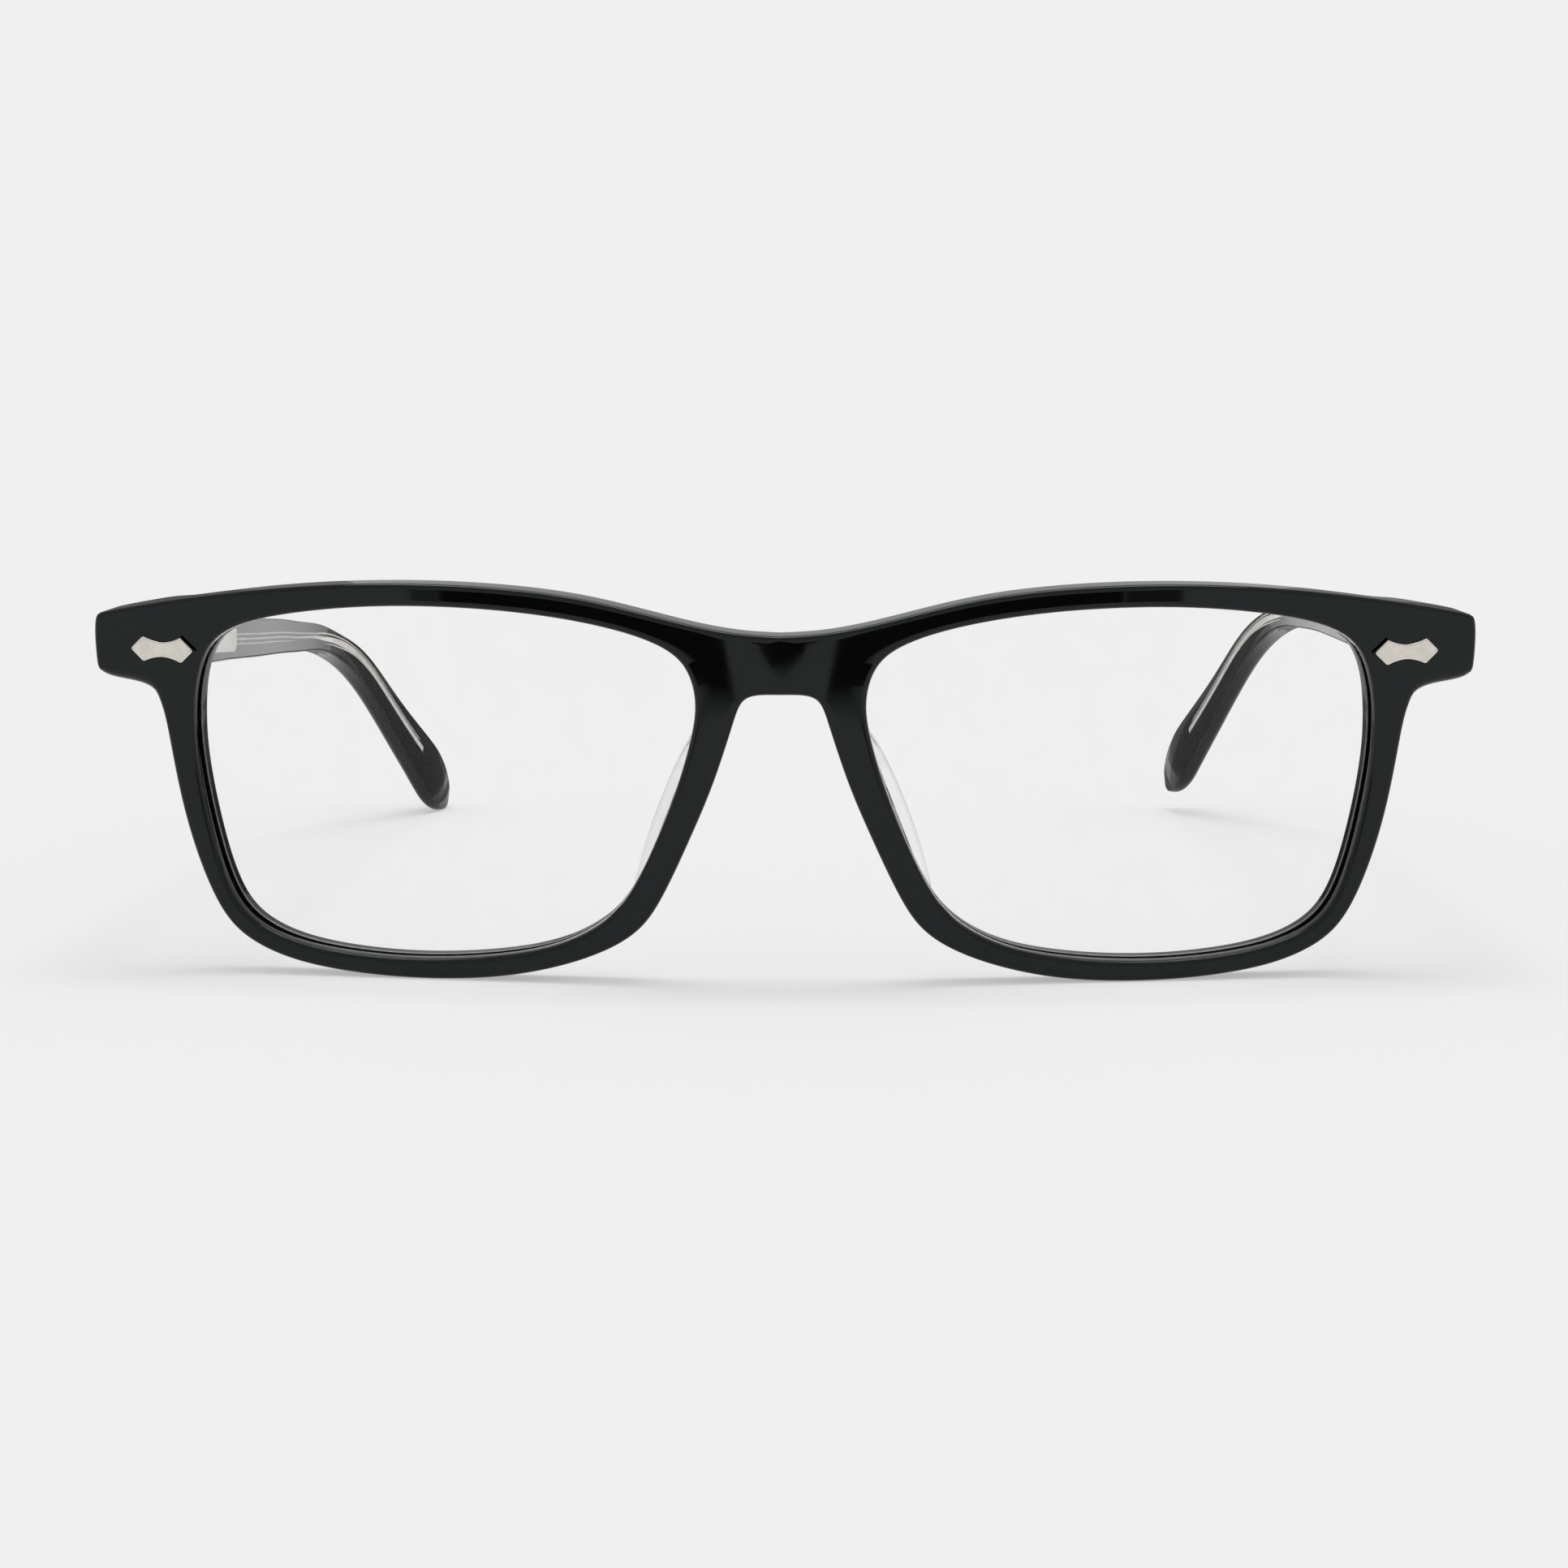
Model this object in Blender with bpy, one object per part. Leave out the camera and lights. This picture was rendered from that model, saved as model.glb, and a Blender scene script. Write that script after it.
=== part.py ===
"""Eyeglasses frame: an acetate front with lenses, nose pads, riveted plaques and two folding temples.

Lengths in the code are millimetres and become metres when a mesh is made. The glasses stand on the two rims
and the two temple tips, with the front facing -Y, +Z up and +X on the wearer's left. The front is drawn flat,
as u (sideways, along the curve), v (up) and s (depth behind its face), and is then bent and tilted.
"""

from math import cos, pi, radians, sin, sqrt

import bmesh
import bpy
import numpy as np
from mathutils import Matrix, Vector

MM = 0.001

# The bent, tilted front.
FACE_RADIUS = 260.0
FRONT_TILT = radians(6.5)
RIM_THICKNESS = 4.0
ENDPIECE_THICKNESS = 6.0
THICKENING_U = (61.0, 66.0)
THICKENING_V = (21.0, 29.0)
OUTER_ROUND = 0.6
INNER_ROUND = 0.45
ROUND_MIDDLE = 1 - sqrt(0.5)

# The object's own frame: its lowest point is at Z = 0 and its box is centred in Y.
LIFT = -0.13
SHIFT_Y = -70.1

# Half of the front's outer outline, from the middle of the nose arch down and round to the top of the bridge.
OUTER_OUTLINE = (
    (0, 30.65), (1.6, 30.65), (2.9, 30.5), (3.8, 30.0), (4.35, 29.1),
    (4.8, 27.8), (6.7, 22.0), (9.15, 16.0), (12.2, 9.5), (14.7, 5.9),
    (18.3, 3.5), (23.5, 1.6), (30.5, 0.25), (40.0, -0.15), (48.0, 0.42),
    (53.5, 1.62), (57.6, 3.7), (60.1, 6.7), (62.3, 12.0), (63.9, 18.3),
    (64.9, 24.5), (65.45, 27.4), (66.35, 29.2), (68.6, 30.1), (71.6, 30.55),
    (72.55, 31.1), (72.87, 32.6), (72.8, 36.3), (72.4, 37.15), (71.3, 37.55),
    (66.0, 38.65), (57.0, 40.1), (47.0, 41.2), (36.0, 41.6), (26.0, 41.15),
    (18.0, 39.97), (9.5, 37.95), (4.0, 36.98), (0, 36.72),
)

# One lens opening, from the nasal side down and round.
LENS_OPENING = (
    (8.73, 30.2), (9.1, 26.4), (10.65, 21.0), (13.0, 15.0), (15.5, 10.0),
    (18.0, 7.0), (22.5, 4.35), (29.0, 2.75), (38.0, 2.0), (47.0, 2.4),
    (53.0, 3.65), (56.8, 5.8), (58.9, 9.0), (60.5, 14.4), (61.65, 21.0),
    (61.95, 26.5), (61.35, 31.0), (59.7, 34.5), (56.3, 36.7), (50.0, 38.2),
    (42.0, 39.07), (34.0, 39.22), (26.0, 38.75), (18.5, 37.6), (12.9, 35.9),
    (9.9, 33.7),
)

# Where the two outlines face each other: outer point, opening point, cells up to the next row.
STATIONS = (
    (0, 0, 5), (4, 1, 4), (6, 2, 4), (7, 3, 5), (8, 4, 6), (10, 6, 7), (13, 8, 7), (15, 10, 7),
    (17, 12, 8), (20, 15, 7), (24, 16, 5), (27, 17, 6), (30, 18, 6), (32, 20, 5), (34, 22, 7),
    (36, 24, 5), (38, 25, 0),
)
BRIDGE_CELLS = 4
FACE_CELLS = 3

# The lens and the groove that holds it.
GROOVE = ((0.0, 1.15), (0.65, 1.95), (0.0, 2.75))
LENS_EDGE = ((-0.3, 1.25), (0.25, 1.95), (-0.3, 2.65))
LENS_SIDES = 52
LENS_RINGS = (0.72, 0.36)

# The plaque on each endpiece, and the recess that it sits in.
PLAQUE_CENTRE = (65.0, 33.8)
PLAQUE_TIP = 3.6
PLAQUE_LOBE = (2.15, 1.36)
PLAQUE_WAIST = 0.8
PLAQUE_PROUD = 0.15
PLAQUE_DEPTH = 0.75
PLAQUE_GAP = 0.25
PIN_PLACE = 1.75
PIN_RADIUS = 0.45
PIN_LENGTH = 1.3
FIT_GAP = 0.3

# The hinge: three knuckles on the front and two on the temple, round an upright screw.
AXIS_X = 62.9
AXIS_Y = 12.25
AXIS_Z = 35.2
KNUCKLE_RADIUS = 1.25
KNUCKLE_HEIGHT = 1.0
KNUCKLE_GAP = 0.06
BORE_RADIUS = 0.62
SCREW_RADIUS = 0.55
SCREW_HEAD_RADIUS = 1.0
SCREW_HEAD_HEIGHT = 0.5
ROUND_SIDES = 20
FRONT_LEAF = (65.0, 34.0)
FRONT_LEAF_SIZE = (3.7, 5.4)
FRONT_LEAF_DEPTH = 0.9
FRONT_LEAF_PROUD = 0.15
FRONT_WEB = (0.0, -2.9)
TEMPLE_LEAF_LENGTH = 11.0
TEMPLE_LEAF_HEIGHT = 3.4
TEMPLE_LEAF_THICKNESS = 0.85

# The temple: distance back, height, inner face's X, height of the section, its thickness.
TEMPLE_ROWS = (
    (11.0, 34.95, 64.2, 6.3, 5.7),
    (24.0, 34.05, 64.4, 5.8, 5.2),
    (42.0, 32.85, 64.8, 5.1, 4.5),
    (62.0, 31.5, 65.3, 4.7, 4.1),
    (80.0, 30.4, 65.7, 4.4, 3.7),
    (94.0, 29.3, 65.6, 3.9, 3.5),
    (104.0, 28.5, 65.1, 3.6, 3.3),
    (112.0, 26.4, 63.75, 3.7, 3.0),
    (120.0, 22.8, 61.9, 4.9, 2.7),
    (128.0, 15.8, 59.4, 6.4, 2.35),
    (136.0, 8.3, 56.3, 8.8, 2.3),
    (142.5, 1.74, 53.65, 11.4, 2.2),
)
# The left temple is set higher and a little wider than the right one.
LEFT_RAISE = 3.5
RAISE_TURN = radians(0.95)
LEFT_SPLAY = 0.006
TEMPLE_STATIONS = 34
TIP_START = 0.93
TIP_STATIONS = 6
CLEAR_SHARE = 0.34
INSIDE_ROUND = 0.3
OUTSIDE_ROUND = 0.9
SPLIT_ROUND = 0.08
CORE_WIDTH = 1.6
CORE_DEPTH = 0.45
CORE_OFFSET = (-0.25, 1.2)
CORE_RISE_Y = (106.0, 132.0)
CORE_END = 0.87
CLOSED_SLOT = 0.05

# The nose pad: a flat fin set on the back of the nasal rim.
PAD_TOP = (6.4, 26.4)
PAD_BOTTOM = (14.1, 6.8)
PAD_SPLAY = radians(20)
PAD_REACH = 4.5
PAD_LIFT = 0.4
PAD_THICKNESS = 1.7
PAD_ROUND = 0.5


def smoothstep(x, low, high):
    """0 below low, 1 above high, smooth between them."""
    t = min(max((x - low) / (high - low), 0.0), 1.0)
    return t * t * (3 - 2 * t)


class Curve:
    """A cubic spline through points; its parameter is the point's number, whole at each point."""

    def __init__(self, points, closed=False):
        p = np.array(points, float)
        if closed:
            p = np.vstack([p, p[:1]])
        self.p = p
        self.t = np.concatenate([[0], np.cumsum(np.linalg.norm(np.diff(p, axis=0), axis=1) ** 0.5)])
        self.m = self.slopes(closed)

    def slopes(self, closed):
        """Second derivatives at the points."""
        n = len(self.t)
        h = np.diff(self.t)
        a = np.zeros((n, n))
        b = np.zeros_like(self.p)
        rate = np.diff(self.p, axis=0) / h[:, None]
        for i in range(1, n - 1):
            a[i, i - 1 : i + 2] = h[i - 1], 2 * (h[i - 1] + h[i]), h[i]
            b[i] = 6 * (rate[i] - rate[i - 1])
        if closed:
            a[0, [0, -1]] = 1, -1
            a[-1, [0, 1]] += 2 * h[0], h[0]
            a[-1, [-2, -1]] += h[-1], 2 * h[-1]
            b[-1] = 6 * (rate[0] - rate[-1])
        else:
            a[0, 0] = a[-1, -1] = 1
        return np.linalg.solve(a, b)

    def at(self, q):
        q = np.atleast_1d(np.asarray(q, float))
        i = np.clip(q.astype(int), 0, len(self.t) - 2)
        h = (self.t[i + 1] - self.t[i])[:, None]
        x = (q - i)[:, None]
        cubic = (1 - x) ** 3 * self.m[i] + x**3 * self.m[i + 1]
        bend = (1 - x) * self.m[i] + x * self.m[i + 1]
        return (1 - x) * self.p[i] + x * self.p[i + 1] + h * h / 6 * (cubic - bend)

    def spaced(self, start, end, cells):
        """Points at equal distances along the curve from start, without the one at end."""
        q = np.linspace(start, end, 40 * cells + 1)
        points = self.at(q)
        far = np.concatenate([[0], np.cumsum(np.linalg.norm(np.diff(points, axis=0), axis=1))])
        return self.at(np.interp(np.arange(cells) * far[-1] / cells, far, q))


def front_point(u, v, s):
    """A point of the front, bent round the face and tilted, standing on the floor."""
    lowest = (FACE_RADIUS - FACE_RADIUS * cos(40 / FACE_RADIUS)) * sin(FRONT_TILT)
    x = (FACE_RADIUS - s) * sin(u / FACE_RADIUS)
    back = FACE_RADIUS - (FACE_RADIUS - s) * cos(u / FACE_RADIUS)
    y = -v * sin(FRONT_TILT) + back * cos(FRONT_TILT)
    z = v * cos(FRONT_TILT) + back * sin(FRONT_TILT) - lowest - LIFT
    return Vector((x, y + SHIFT_Y, z)) * MM


def place(x, y, z):
    """A point given by millimetres from the middle of the bridge's foot."""
    return Vector((x, y + SHIFT_Y, z)) * MM


def thickness(u, v):
    """The front's thickness, which grows towards the hinge."""
    more = smoothstep(abs(u), *THICKENING_U) * smoothstep(v, *THICKENING_V)
    return RIM_THICKNESS + (ENDPIECE_THICKNESS - RIM_THICKNESS) * more


def normals(loop, closed=True):
    """Unit normals on the left of a line of points."""
    if closed:
        along = np.roll(loop, -1, axis=0) - np.roll(loop, 1, axis=0)
    else:
        along = np.gradient(loop, axis=0)
        along[[0, -1], 1] = 0
    along /= np.linalg.norm(along, axis=1)[:, None]
    return np.stack([-along[:, 1], along[:, 0]], axis=1)


def material(name, color, roughness, metallic=0.0, transmission=0.0):
    made = bpy.data.materials.new(name)
    made.use_nodes = True
    shader = made.node_tree.nodes["Principled BSDF"]
    shader.inputs["Base Color"].default_value = (*color, 1)
    shader.inputs["Roughness"].default_value = roughness
    shader.inputs["Metallic"].default_value = metallic
    shader.inputs["Transmission Weight"].default_value = transmission
    return made


def new_object(name, mesh_data, finish=None):
    made = bpy.data.objects.new(name, mesh_data)
    bpy.context.scene.collection.objects.link(made)
    if finish:
        mesh_data.materials.append(finish)
    return made


def object_from(name, points, faces, finish=None, smooth_below=35):
    """A closed mesh object from points in metres, with its faces turned outwards."""
    mesh = bmesh.new()
    verts = [mesh.verts.new(p) for p in points]
    for face in faces:
        mesh.faces.new([verts[i] for i in face])
    bmesh.ops.remove_doubles(mesh, verts=mesh.verts, dist=1e-7)
    bmesh.ops.recalc_face_normals(mesh, faces=mesh.faces)
    data = bpy.data.meshes.new(name)
    mesh.to_mesh(data)
    mesh.free()
    if finish:
        data.shade_smooth()
        data.set_sharp_from_angle(angle=radians(smooth_below))
    return new_object(name, data, finish)


def loft(name, rings, finish=None, smooth_below=35):
    """A solid through rings of points, with flat ends."""
    sides = len(rings[0])
    points = [p for ring in rings for p in ring]
    faces = [tuple(range(sides)), tuple(range(len(points) - sides, len(points)))]
    for k in range(len(rings) - 1):
        for i in range(sides):
            j = (i + 1) % sides
            faces.append((k * sides + i, k * sides + j, (k + 1) * sides + j, (k + 1) * sides + i))
    return object_from(name, points, faces, finish, smooth_below)


def cutter(made):
    made.hide_render = True
    made.display_type = "WIRE"
    return made


def boolean(target, other, operation):
    step = target.modifiers.new(operation.lower(), "BOOLEAN")
    step.operation = operation
    step.solver = "EXACT"
    step.object = other
    cutter(other)


def circle(radius, sides=ROUND_SIDES):
    return [(radius * cos(2 * pi * i / sides), radius * sin(2 * pi * i / sides)) for i in range(sides)]


def mirrored(point, side):
    return Vector((point[0] * side, point[1], point[2]))


# ---------------------------------------------------------------- front


def section_of_rim(inner, inner_normal, outer, outer_normal, walled):
    """(u, v, s) round the rim at one station: face, outer wall, back, and inner wall with the lens groove."""
    r = INNER_ROUND
    middle = r * ROUND_MIDDLE
    deep_inner = thickness(*inner)
    deep_outer = thickness(*outer)
    inner_face = inner + r * inner_normal
    outer_face = outer + OUTER_ROUND * outer_normal if walled else outer
    spread = [inner_face + (outer_face - inner_face) * k / FACE_CELLS for k in range(FACE_CELLS + 1)]
    ring = [(*p, 0.0) for p in spread]
    wall = []
    if walled:
        o = OUTER_ROUND
        for offset, s in (
            (o * ROUND_MIDDLE, o * ROUND_MIDDLE),
            (0, o),
            (0, deep_outer - o),
            (o * ROUND_MIDDLE, deep_outer - o * ROUND_MIDDLE),
        ):
            wall.append((*(outer + offset * outer_normal), s))
    back = [(*p, thickness(*p)) for p in reversed(spread)]
    hole = [(r * ROUND_MIDDLE, deep_inner - middle), (0, deep_inner - r)]
    hole += list(reversed(GROOVE))
    hole += [(0, r), (middle, middle)]
    groove = [(*(inner + offset * inner_normal), s) for offset, s in hole]
    return ring, wall, back, groove


def rim_stations():
    """Facing points of the opening and the outer outline, with their normals into the material."""
    outer_curve = Curve(OUTER_OUTLINE)
    inner_curve = Curve(LENS_OPENING, closed=True)
    outer = []
    inner = []
    for here, after in zip(STATIONS, STATIONS[1:]):
        cells = here[2]
        outer.append(outer_curve.spaced(here[0], after[0], cells))
        inner.append(inner_curve.spaced(here[1], after[1], cells))
    outer.append(outer_curve.at(STATIONS[-1][0]))
    inner.append(inner_curve.at(STATIONS[-1][1]))
    outer = np.vstack(outer)
    walls = len(outer)
    closing = inner_curve.spaced(STATIONS[-1][1], len(LENS_OPENING), BRIDGE_CELLS + 1)[1:]
    inner = np.vstack([*inner, closing])
    outer_normals = normals(outer, closed=False)
    top = outer[-1][1] - OUTER_ROUND
    foot = outer[0][1] + OUTER_ROUND
    heights = np.linspace(top, foot, BRIDGE_CELLS + 2)[1:-1]
    outer = np.vstack([outer, [(0, v) for v in heights]])
    return inner, -normals(inner), outer, outer_normals, walls


def make_front(finish):
    inner, inner_normals, outer, outer_normals, walls = rim_stations()
    count = len(inner)
    points = []
    rings = []
    for i in range(count):
        walled = i < walls
        turn = outer_normals[i] if walled else None
        parts = section_of_rim(inner[i], inner_normals[i], outer[i], turn, walled)
        numbered = []
        for part in parts:
            numbered.append(list(range(len(points), len(points) + len(part))))
            points += part
        rings.append(numbered)
    faces = []
    for i in range(count):
        here = rings[i]
        after = rings[(i + 1) % count]
        if here[1] and after[1]:
            lines = [(sum(here, []), sum(after, []), True)]
        else:
            lines = [
                (here[0], after[0], False),
                (here[2] + here[3] + here[0][:1], after[2] + after[3] + after[0][:1], False),
            ]
        for a, b, round_again in lines:
            for k in range(len(a) - (not round_again)):
                n = (k + 1) % len(a)
                faces.append((a[k], a[n], b[n], b[k]))
    half = [front_point(*p) for p in points]
    whole = half + [mirrored(p, -1) for p in half]
    flipped = [tuple(k + len(points) for k in reversed(face)) for face in faces]
    return object_from("front_frame", whole, faces + flipped, finish)


def lens_ring(curve_points, turned, offset, s, side):
    return [front_point(side * p[0], p[1], s) for p in curve_points + offset * turned]


def make_lens(name, side, finish):
    """A thin curved plate with a V edge that sits in the rim's groove."""
    loop = Curve(LENS_OPENING, closed=True).spaced(0, len(LENS_OPENING), LENS_SIDES)
    turned = -normals(loop)
    middle = loop.mean(axis=0)
    front_s = LENS_EDGE[0][1]
    back_s = LENS_EDGE[-1][1]
    rings = [lens_ring(middle + (loop - middle) * k, turned, 0, front_s, side) for k in reversed(LENS_RINGS)]
    rings += [lens_ring(loop, turned, offset, s, side) for offset, s in LENS_EDGE]
    rings += [lens_ring(middle + (loop - middle) * k, turned, 0, back_s, side) for k in LENS_RINGS]
    return loft(name, rings, finish)


# ---------------------------------------------------------------- plaques


def plaque_outline(grow=0.0):
    """The bow-tie, counter-clockwise: a tip, two lobes, a hollow waist, and round again."""
    lobe_u, lobe_v = PLAQUE_LOBE
    quarter = [(PLAQUE_TIP, 0.0), (lobe_u, lobe_v)]
    hollow = [(k, PLAQUE_WAIST + (lobe_v - PLAQUE_WAIST) * (k / lobe_u) ** 2) for k in (1.3, 0.5, -0.5, -1.3)]
    upper = quarter + hollow + [(-lobe_u, lobe_v), (-PLAQUE_TIP, 0.0)]
    lower = [(-u, -v) for u, v in upper[1:-1]]
    loop = np.array(upper + lower)
    return loop - grow * normals(loop)


def plaque_prism(name, side, grow, front_s, back_s, finish=None):
    rings = []
    for s in (front_s, back_s):
        ring = [front_point(side * (PLAQUE_CENTRE[0] + u), PLAQUE_CENTRE[1] + v, s) for u, v in plaque_outline(grow)]
        rings.append(ring)
    return loft(name, rings, finish)


def pin(name, side, end, radius, front_s, back_s):
    rings = []
    for s in (front_s, back_s):
        u = PLAQUE_CENTRE[0] + end * PIN_PLACE
        rings.append([front_point(side * (u + a), PLAQUE_CENTRE[1] + b, s) for a, b in circle(radius, 12)])
    return loft(name, rings)


def make_plaque(name, side, front, finish):
    """The metal plaque with its two rivet pins, and its recess in the front."""
    made = plaque_prism(name, side, 0.0, -PLAQUE_PROUD, PLAQUE_DEPTH, finish)
    pin_end = PLAQUE_DEPTH + PIN_LENGTH
    for number, end in enumerate((1, -1)):
        boolean(made, pin(f"{name}_pin_{number}", side, end, PIN_RADIUS, PLAQUE_DEPTH / 2, pin_end), "UNION")
        hole = pin(f"{name}_hole_{number}", side, end, PIN_RADIUS + FIT_GAP, 0.3, pin_end + FIT_GAP)
        boolean(front, hole, "DIFFERENCE")
    recess = plaque_prism(f"{name}_recess", side, PLAQUE_GAP, -1.0, PLAQUE_DEPTH + FIT_GAP)
    boolean(front, recess, "DIFFERENCE")
    return made


# ---------------------------------------------------------------- hinges


def upright_prism(name, outline, low, high, side, finish=None):
    """A solid with an outline round the hinge axis, between two heights."""
    rings = [[place(side * (AXIS_X + a), AXIS_Y + b, z) for a, b in outline] for z in (low, high)]
    return loft(name, rings, finish)


def knuckle_span(number):
    """The lowest and highest Z of one of the five knuckles, counted from the top."""
    pitch = KNUCKLE_HEIGHT + KNUCKLE_GAP
    middle = AXIS_Z + (2 - number) * pitch
    return middle - KNUCKLE_HEIGHT / 2, middle + KNUCKLE_HEIGHT / 2


def knuckle_outline(web):
    """A round knuckle and the web that joins it to its leaf, as one outline."""
    direction = Vector(web).normalized()
    across = Vector((-direction.y, direction.x))
    ring = []
    for i in range(ROUND_SIDES // 2 + 1):
        turn = pi / 2 + pi * i / (ROUND_SIDES // 2)
        ring.append(KNUCKLE_RADIUS * (cos(turn) * direction + sin(turn) * across))
    ring.append(Vector(web) - KNUCKLE_RADIUS * across)
    ring.append(Vector(web) + KNUCKLE_RADIUS * across)
    return ring


def slab(name, low, high, side, finish=None):
    """A box between two corners given in millimetres."""
    rings = []
    for z in (low[2], high[2]):
        corners = ((low[0], low[1]), (high[0], low[1]), (high[0], high[1]), (low[0], high[1]))
        rings.append([place(side * x, y, z) for x, y in corners])
    return loft(name, rings, finish)


def leaf_on_front(name, side, grow, front_s, back_s, finish=None):
    """The front's hinge leaf, a plate set into the back of the endpiece."""
    half_u = FRONT_LEAF_SIZE[0] / 2 + grow
    half_v = FRONT_LEAF_SIZE[1] / 2 + grow
    rings = []
    for s in (front_s, back_s):
        corners = ((-half_u, -half_v), (half_u, -half_v), (half_u, half_v), (-half_u, half_v))
        rings.append([front_point(side * (FRONT_LEAF[0] + a), FRONT_LEAF[1] + b, s) for a, b in corners])
    return loft(name, rings, finish)


def bore(name, side):
    low = knuckle_span(4)[0] - 1
    high = knuckle_span(0)[1] + 1
    return upright_prism(name, circle(BORE_RADIUS), low, high, side)


def make_front_hinge(name, side, front, finish):
    """Three knuckles on a leaf in the endpiece, and the leaf's pocket in the front."""
    sunk = ENDPIECE_THICKNESS - FRONT_LEAF_DEPTH
    made = leaf_on_front(name, side, 0.0, sunk, ENDPIECE_THICKNESS + FRONT_LEAF_PROUD, finish)
    for number in (0, 2, 4):
        low, high = knuckle_span(number)
        boolean(made, upright_prism(f"{name}_knuckle_{number}", knuckle_outline(FRONT_WEB), low, high, side), "UNION")
    boolean(made, bore(f"{name}_bore", side), "DIFFERENCE")
    pocket = leaf_on_front(f"{name}_pocket", side, FIT_GAP, sunk - FIT_GAP, ENDPIECE_THICKNESS + 2)
    boolean(front, pocket, "DIFFERENCE")
    return made


def make_temple_hinge(name, side, clear_layer, finish):
    """Two knuckles on a leaf let into the temple's clear layer, and the leaf's pocket there."""
    inner_x = TEMPLE_ROWS[0][2]
    face = inner_x - AXIS_X
    low = AXIS_Z - TEMPLE_LEAF_HEIGHT / 2
    high = AXIS_Z + TEMPLE_LEAF_HEIGHT / 2
    start = AXIS_Y - KNUCKLE_RADIUS + 0.2
    end = start + TEMPLE_LEAF_LENGTH
    deep = inner_x + TEMPLE_LEAF_THICKNESS
    made = slab(name, (inner_x, start, low), (deep, end, high), side, finish)
    for number in (1, 3):
        bottom, top = knuckle_span(number)
        web = (face + TEMPLE_LEAF_THICKNESS / 2, 0.0)
        boolean(made, upright_prism(f"{name}_knuckle_{number}", knuckle_outline(web), bottom, top, side), "UNION")
    boolean(made, bore(f"{name}_bore", side), "DIFFERENCE")
    g = FIT_GAP
    pocket_low = (inner_x - 3, start - 6, low - g)
    pocket = slab(f"{name}_pocket", pocket_low, (deep + g, end + g, high + g), side)
    boolean(clear_layer, pocket, "DIFFERENCE")
    return made


def make_screw(name, side, finish):
    """The hinge screw, with a slotted head above the top knuckle."""
    foot = knuckle_span(4)[0]
    shoulder = knuckle_span(0)[1] + KNUCKLE_GAP
    top = shoulder + SCREW_HEAD_HEIGHT
    rings = []
    for radius, z in (
        (SCREW_RADIUS, foot),
        (SCREW_RADIUS, shoulder),
        (SCREW_HEAD_RADIUS, shoulder),
        (SCREW_HEAD_RADIUS, top - 0.15),
        (SCREW_HEAD_RADIUS - 0.15, top),
    ):
        rings.append([place(side * (AXIS_X + a), AXIS_Y + b, z) for a, b in circle(radius)])
    made = loft(name, rings, finish)
    slot = slab(f"{name}_slot", (AXIS_X - 2, AXIS_Y - 0.15, top - 0.25), (AXIS_X + 2, AXIS_Y + 0.15, top + 1), side)
    boolean(made, slot, "DIFFERENCE")
    return made


# ---------------------------------------------------------------- temples


def back_of_endpiece(x, z):
    """The Y, in millimetres, of the endpiece's back behind a point of the front."""
    s = ENDPIECE_THICKNESS
    u = FACE_RADIUS * np.arcsin(x / (FACE_RADIUS - s))
    origin = front_point(u, 0, s) / MM
    v = (z - origin.z) / cos(FRONT_TILT)
    return front_point(u, v, s).y / MM - SHIFT_Y


def temple_stations(side):
    """Rows like those of TEMPLE_ROWS, close together, down to the rounded tip."""
    points = TEMPLE_ROWS
    if side > 0:
        start = TEMPLE_ROWS[0][0]
        points = []
        for y, z, x, *section in TEMPLE_ROWS:
            raised = LEFT_RAISE * sin(RAISE_TURN * (y - start))
            points.append((y, z + raised, x + LEFT_SPLAY * (y - start), *section))
    rows = Curve(points)
    last = len(TEMPLE_ROWS) - 1
    body = rows.spaced(0, last * TIP_START, TEMPLE_STATIONS)
    end = last * (TIP_START + (1 - TIP_START) * np.sin(np.linspace(0, pi / 2, TIP_STATIONS)))
    tip = rows.at(end)
    return np.vstack([body, tip])


def tip_narrowing(number):
    """How much of the full height is left at a station: less than 1 only on the round tip."""
    x = sin(pi / 2 * max(number - TEMPLE_STATIONS, 0) / (TIP_STATIONS - 1))
    return sqrt(max(1 - x * x, 0.0)) * 0.86 + 0.14


def temple_frames(side):
    """(corner, across, upward, height, thickness) at each station; across points away from the head."""
    rows = temple_stations(side)
    along = np.gradient(rows[:, :3], axis=0)
    along /= np.linalg.norm(along, axis=1)[:, None]
    frames = []
    for number, (y, z, x, height, thick) in enumerate(rows):
        forward = Vector((along[number][2], along[number][0], along[number][1]))
        upward = Vector((0, -forward.z, forward.y)).normalized()
        across = forward.cross(upward).normalized()
        if across.x < 0:
            across = -across
        narrow = tip_narrowing(number)
        frames.append((Vector((x, y, z)), across, upward, height * narrow, thick * (0.4 + 0.6 * narrow)))
    return frames


def temple_ring(frame, outline, side, first):
    corner, across, upward = frame[:3]
    ring = []
    for w, h in outline:
        p = corner + across * w + upward * h
        if first:
            p.y = back_of_endpiece(p.x, p.z) + FIT_GAP
        ring.append(place(side * p.x, p.y, p.z))
    return ring


def layer_outline(inner, outer, height, inner_round, outer_round):
    """A plate's section, with small flats on its corners."""
    half = height / 2
    a = min(inner_round, half * 0.6)
    b = min(outer_round, half * 0.6, outer - inner - a - 0.05)
    return [
        (inner, -half + a), (inner + a * ROUND_MIDDLE, -half + a * ROUND_MIDDLE), (inner + a, -half),
        (outer - b, -half), (outer - b * ROUND_MIDDLE, -half + b * ROUND_MIDDLE), (outer, -half + b),
        (outer, half - b), (outer - b * ROUND_MIDDLE, half - b * ROUND_MIDDLE), (outer - b, half),
        (inner + a, half), (inner + a * ROUND_MIDDLE, half - a * ROUND_MIDDLE), (inner, half - a),
    ]


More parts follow.
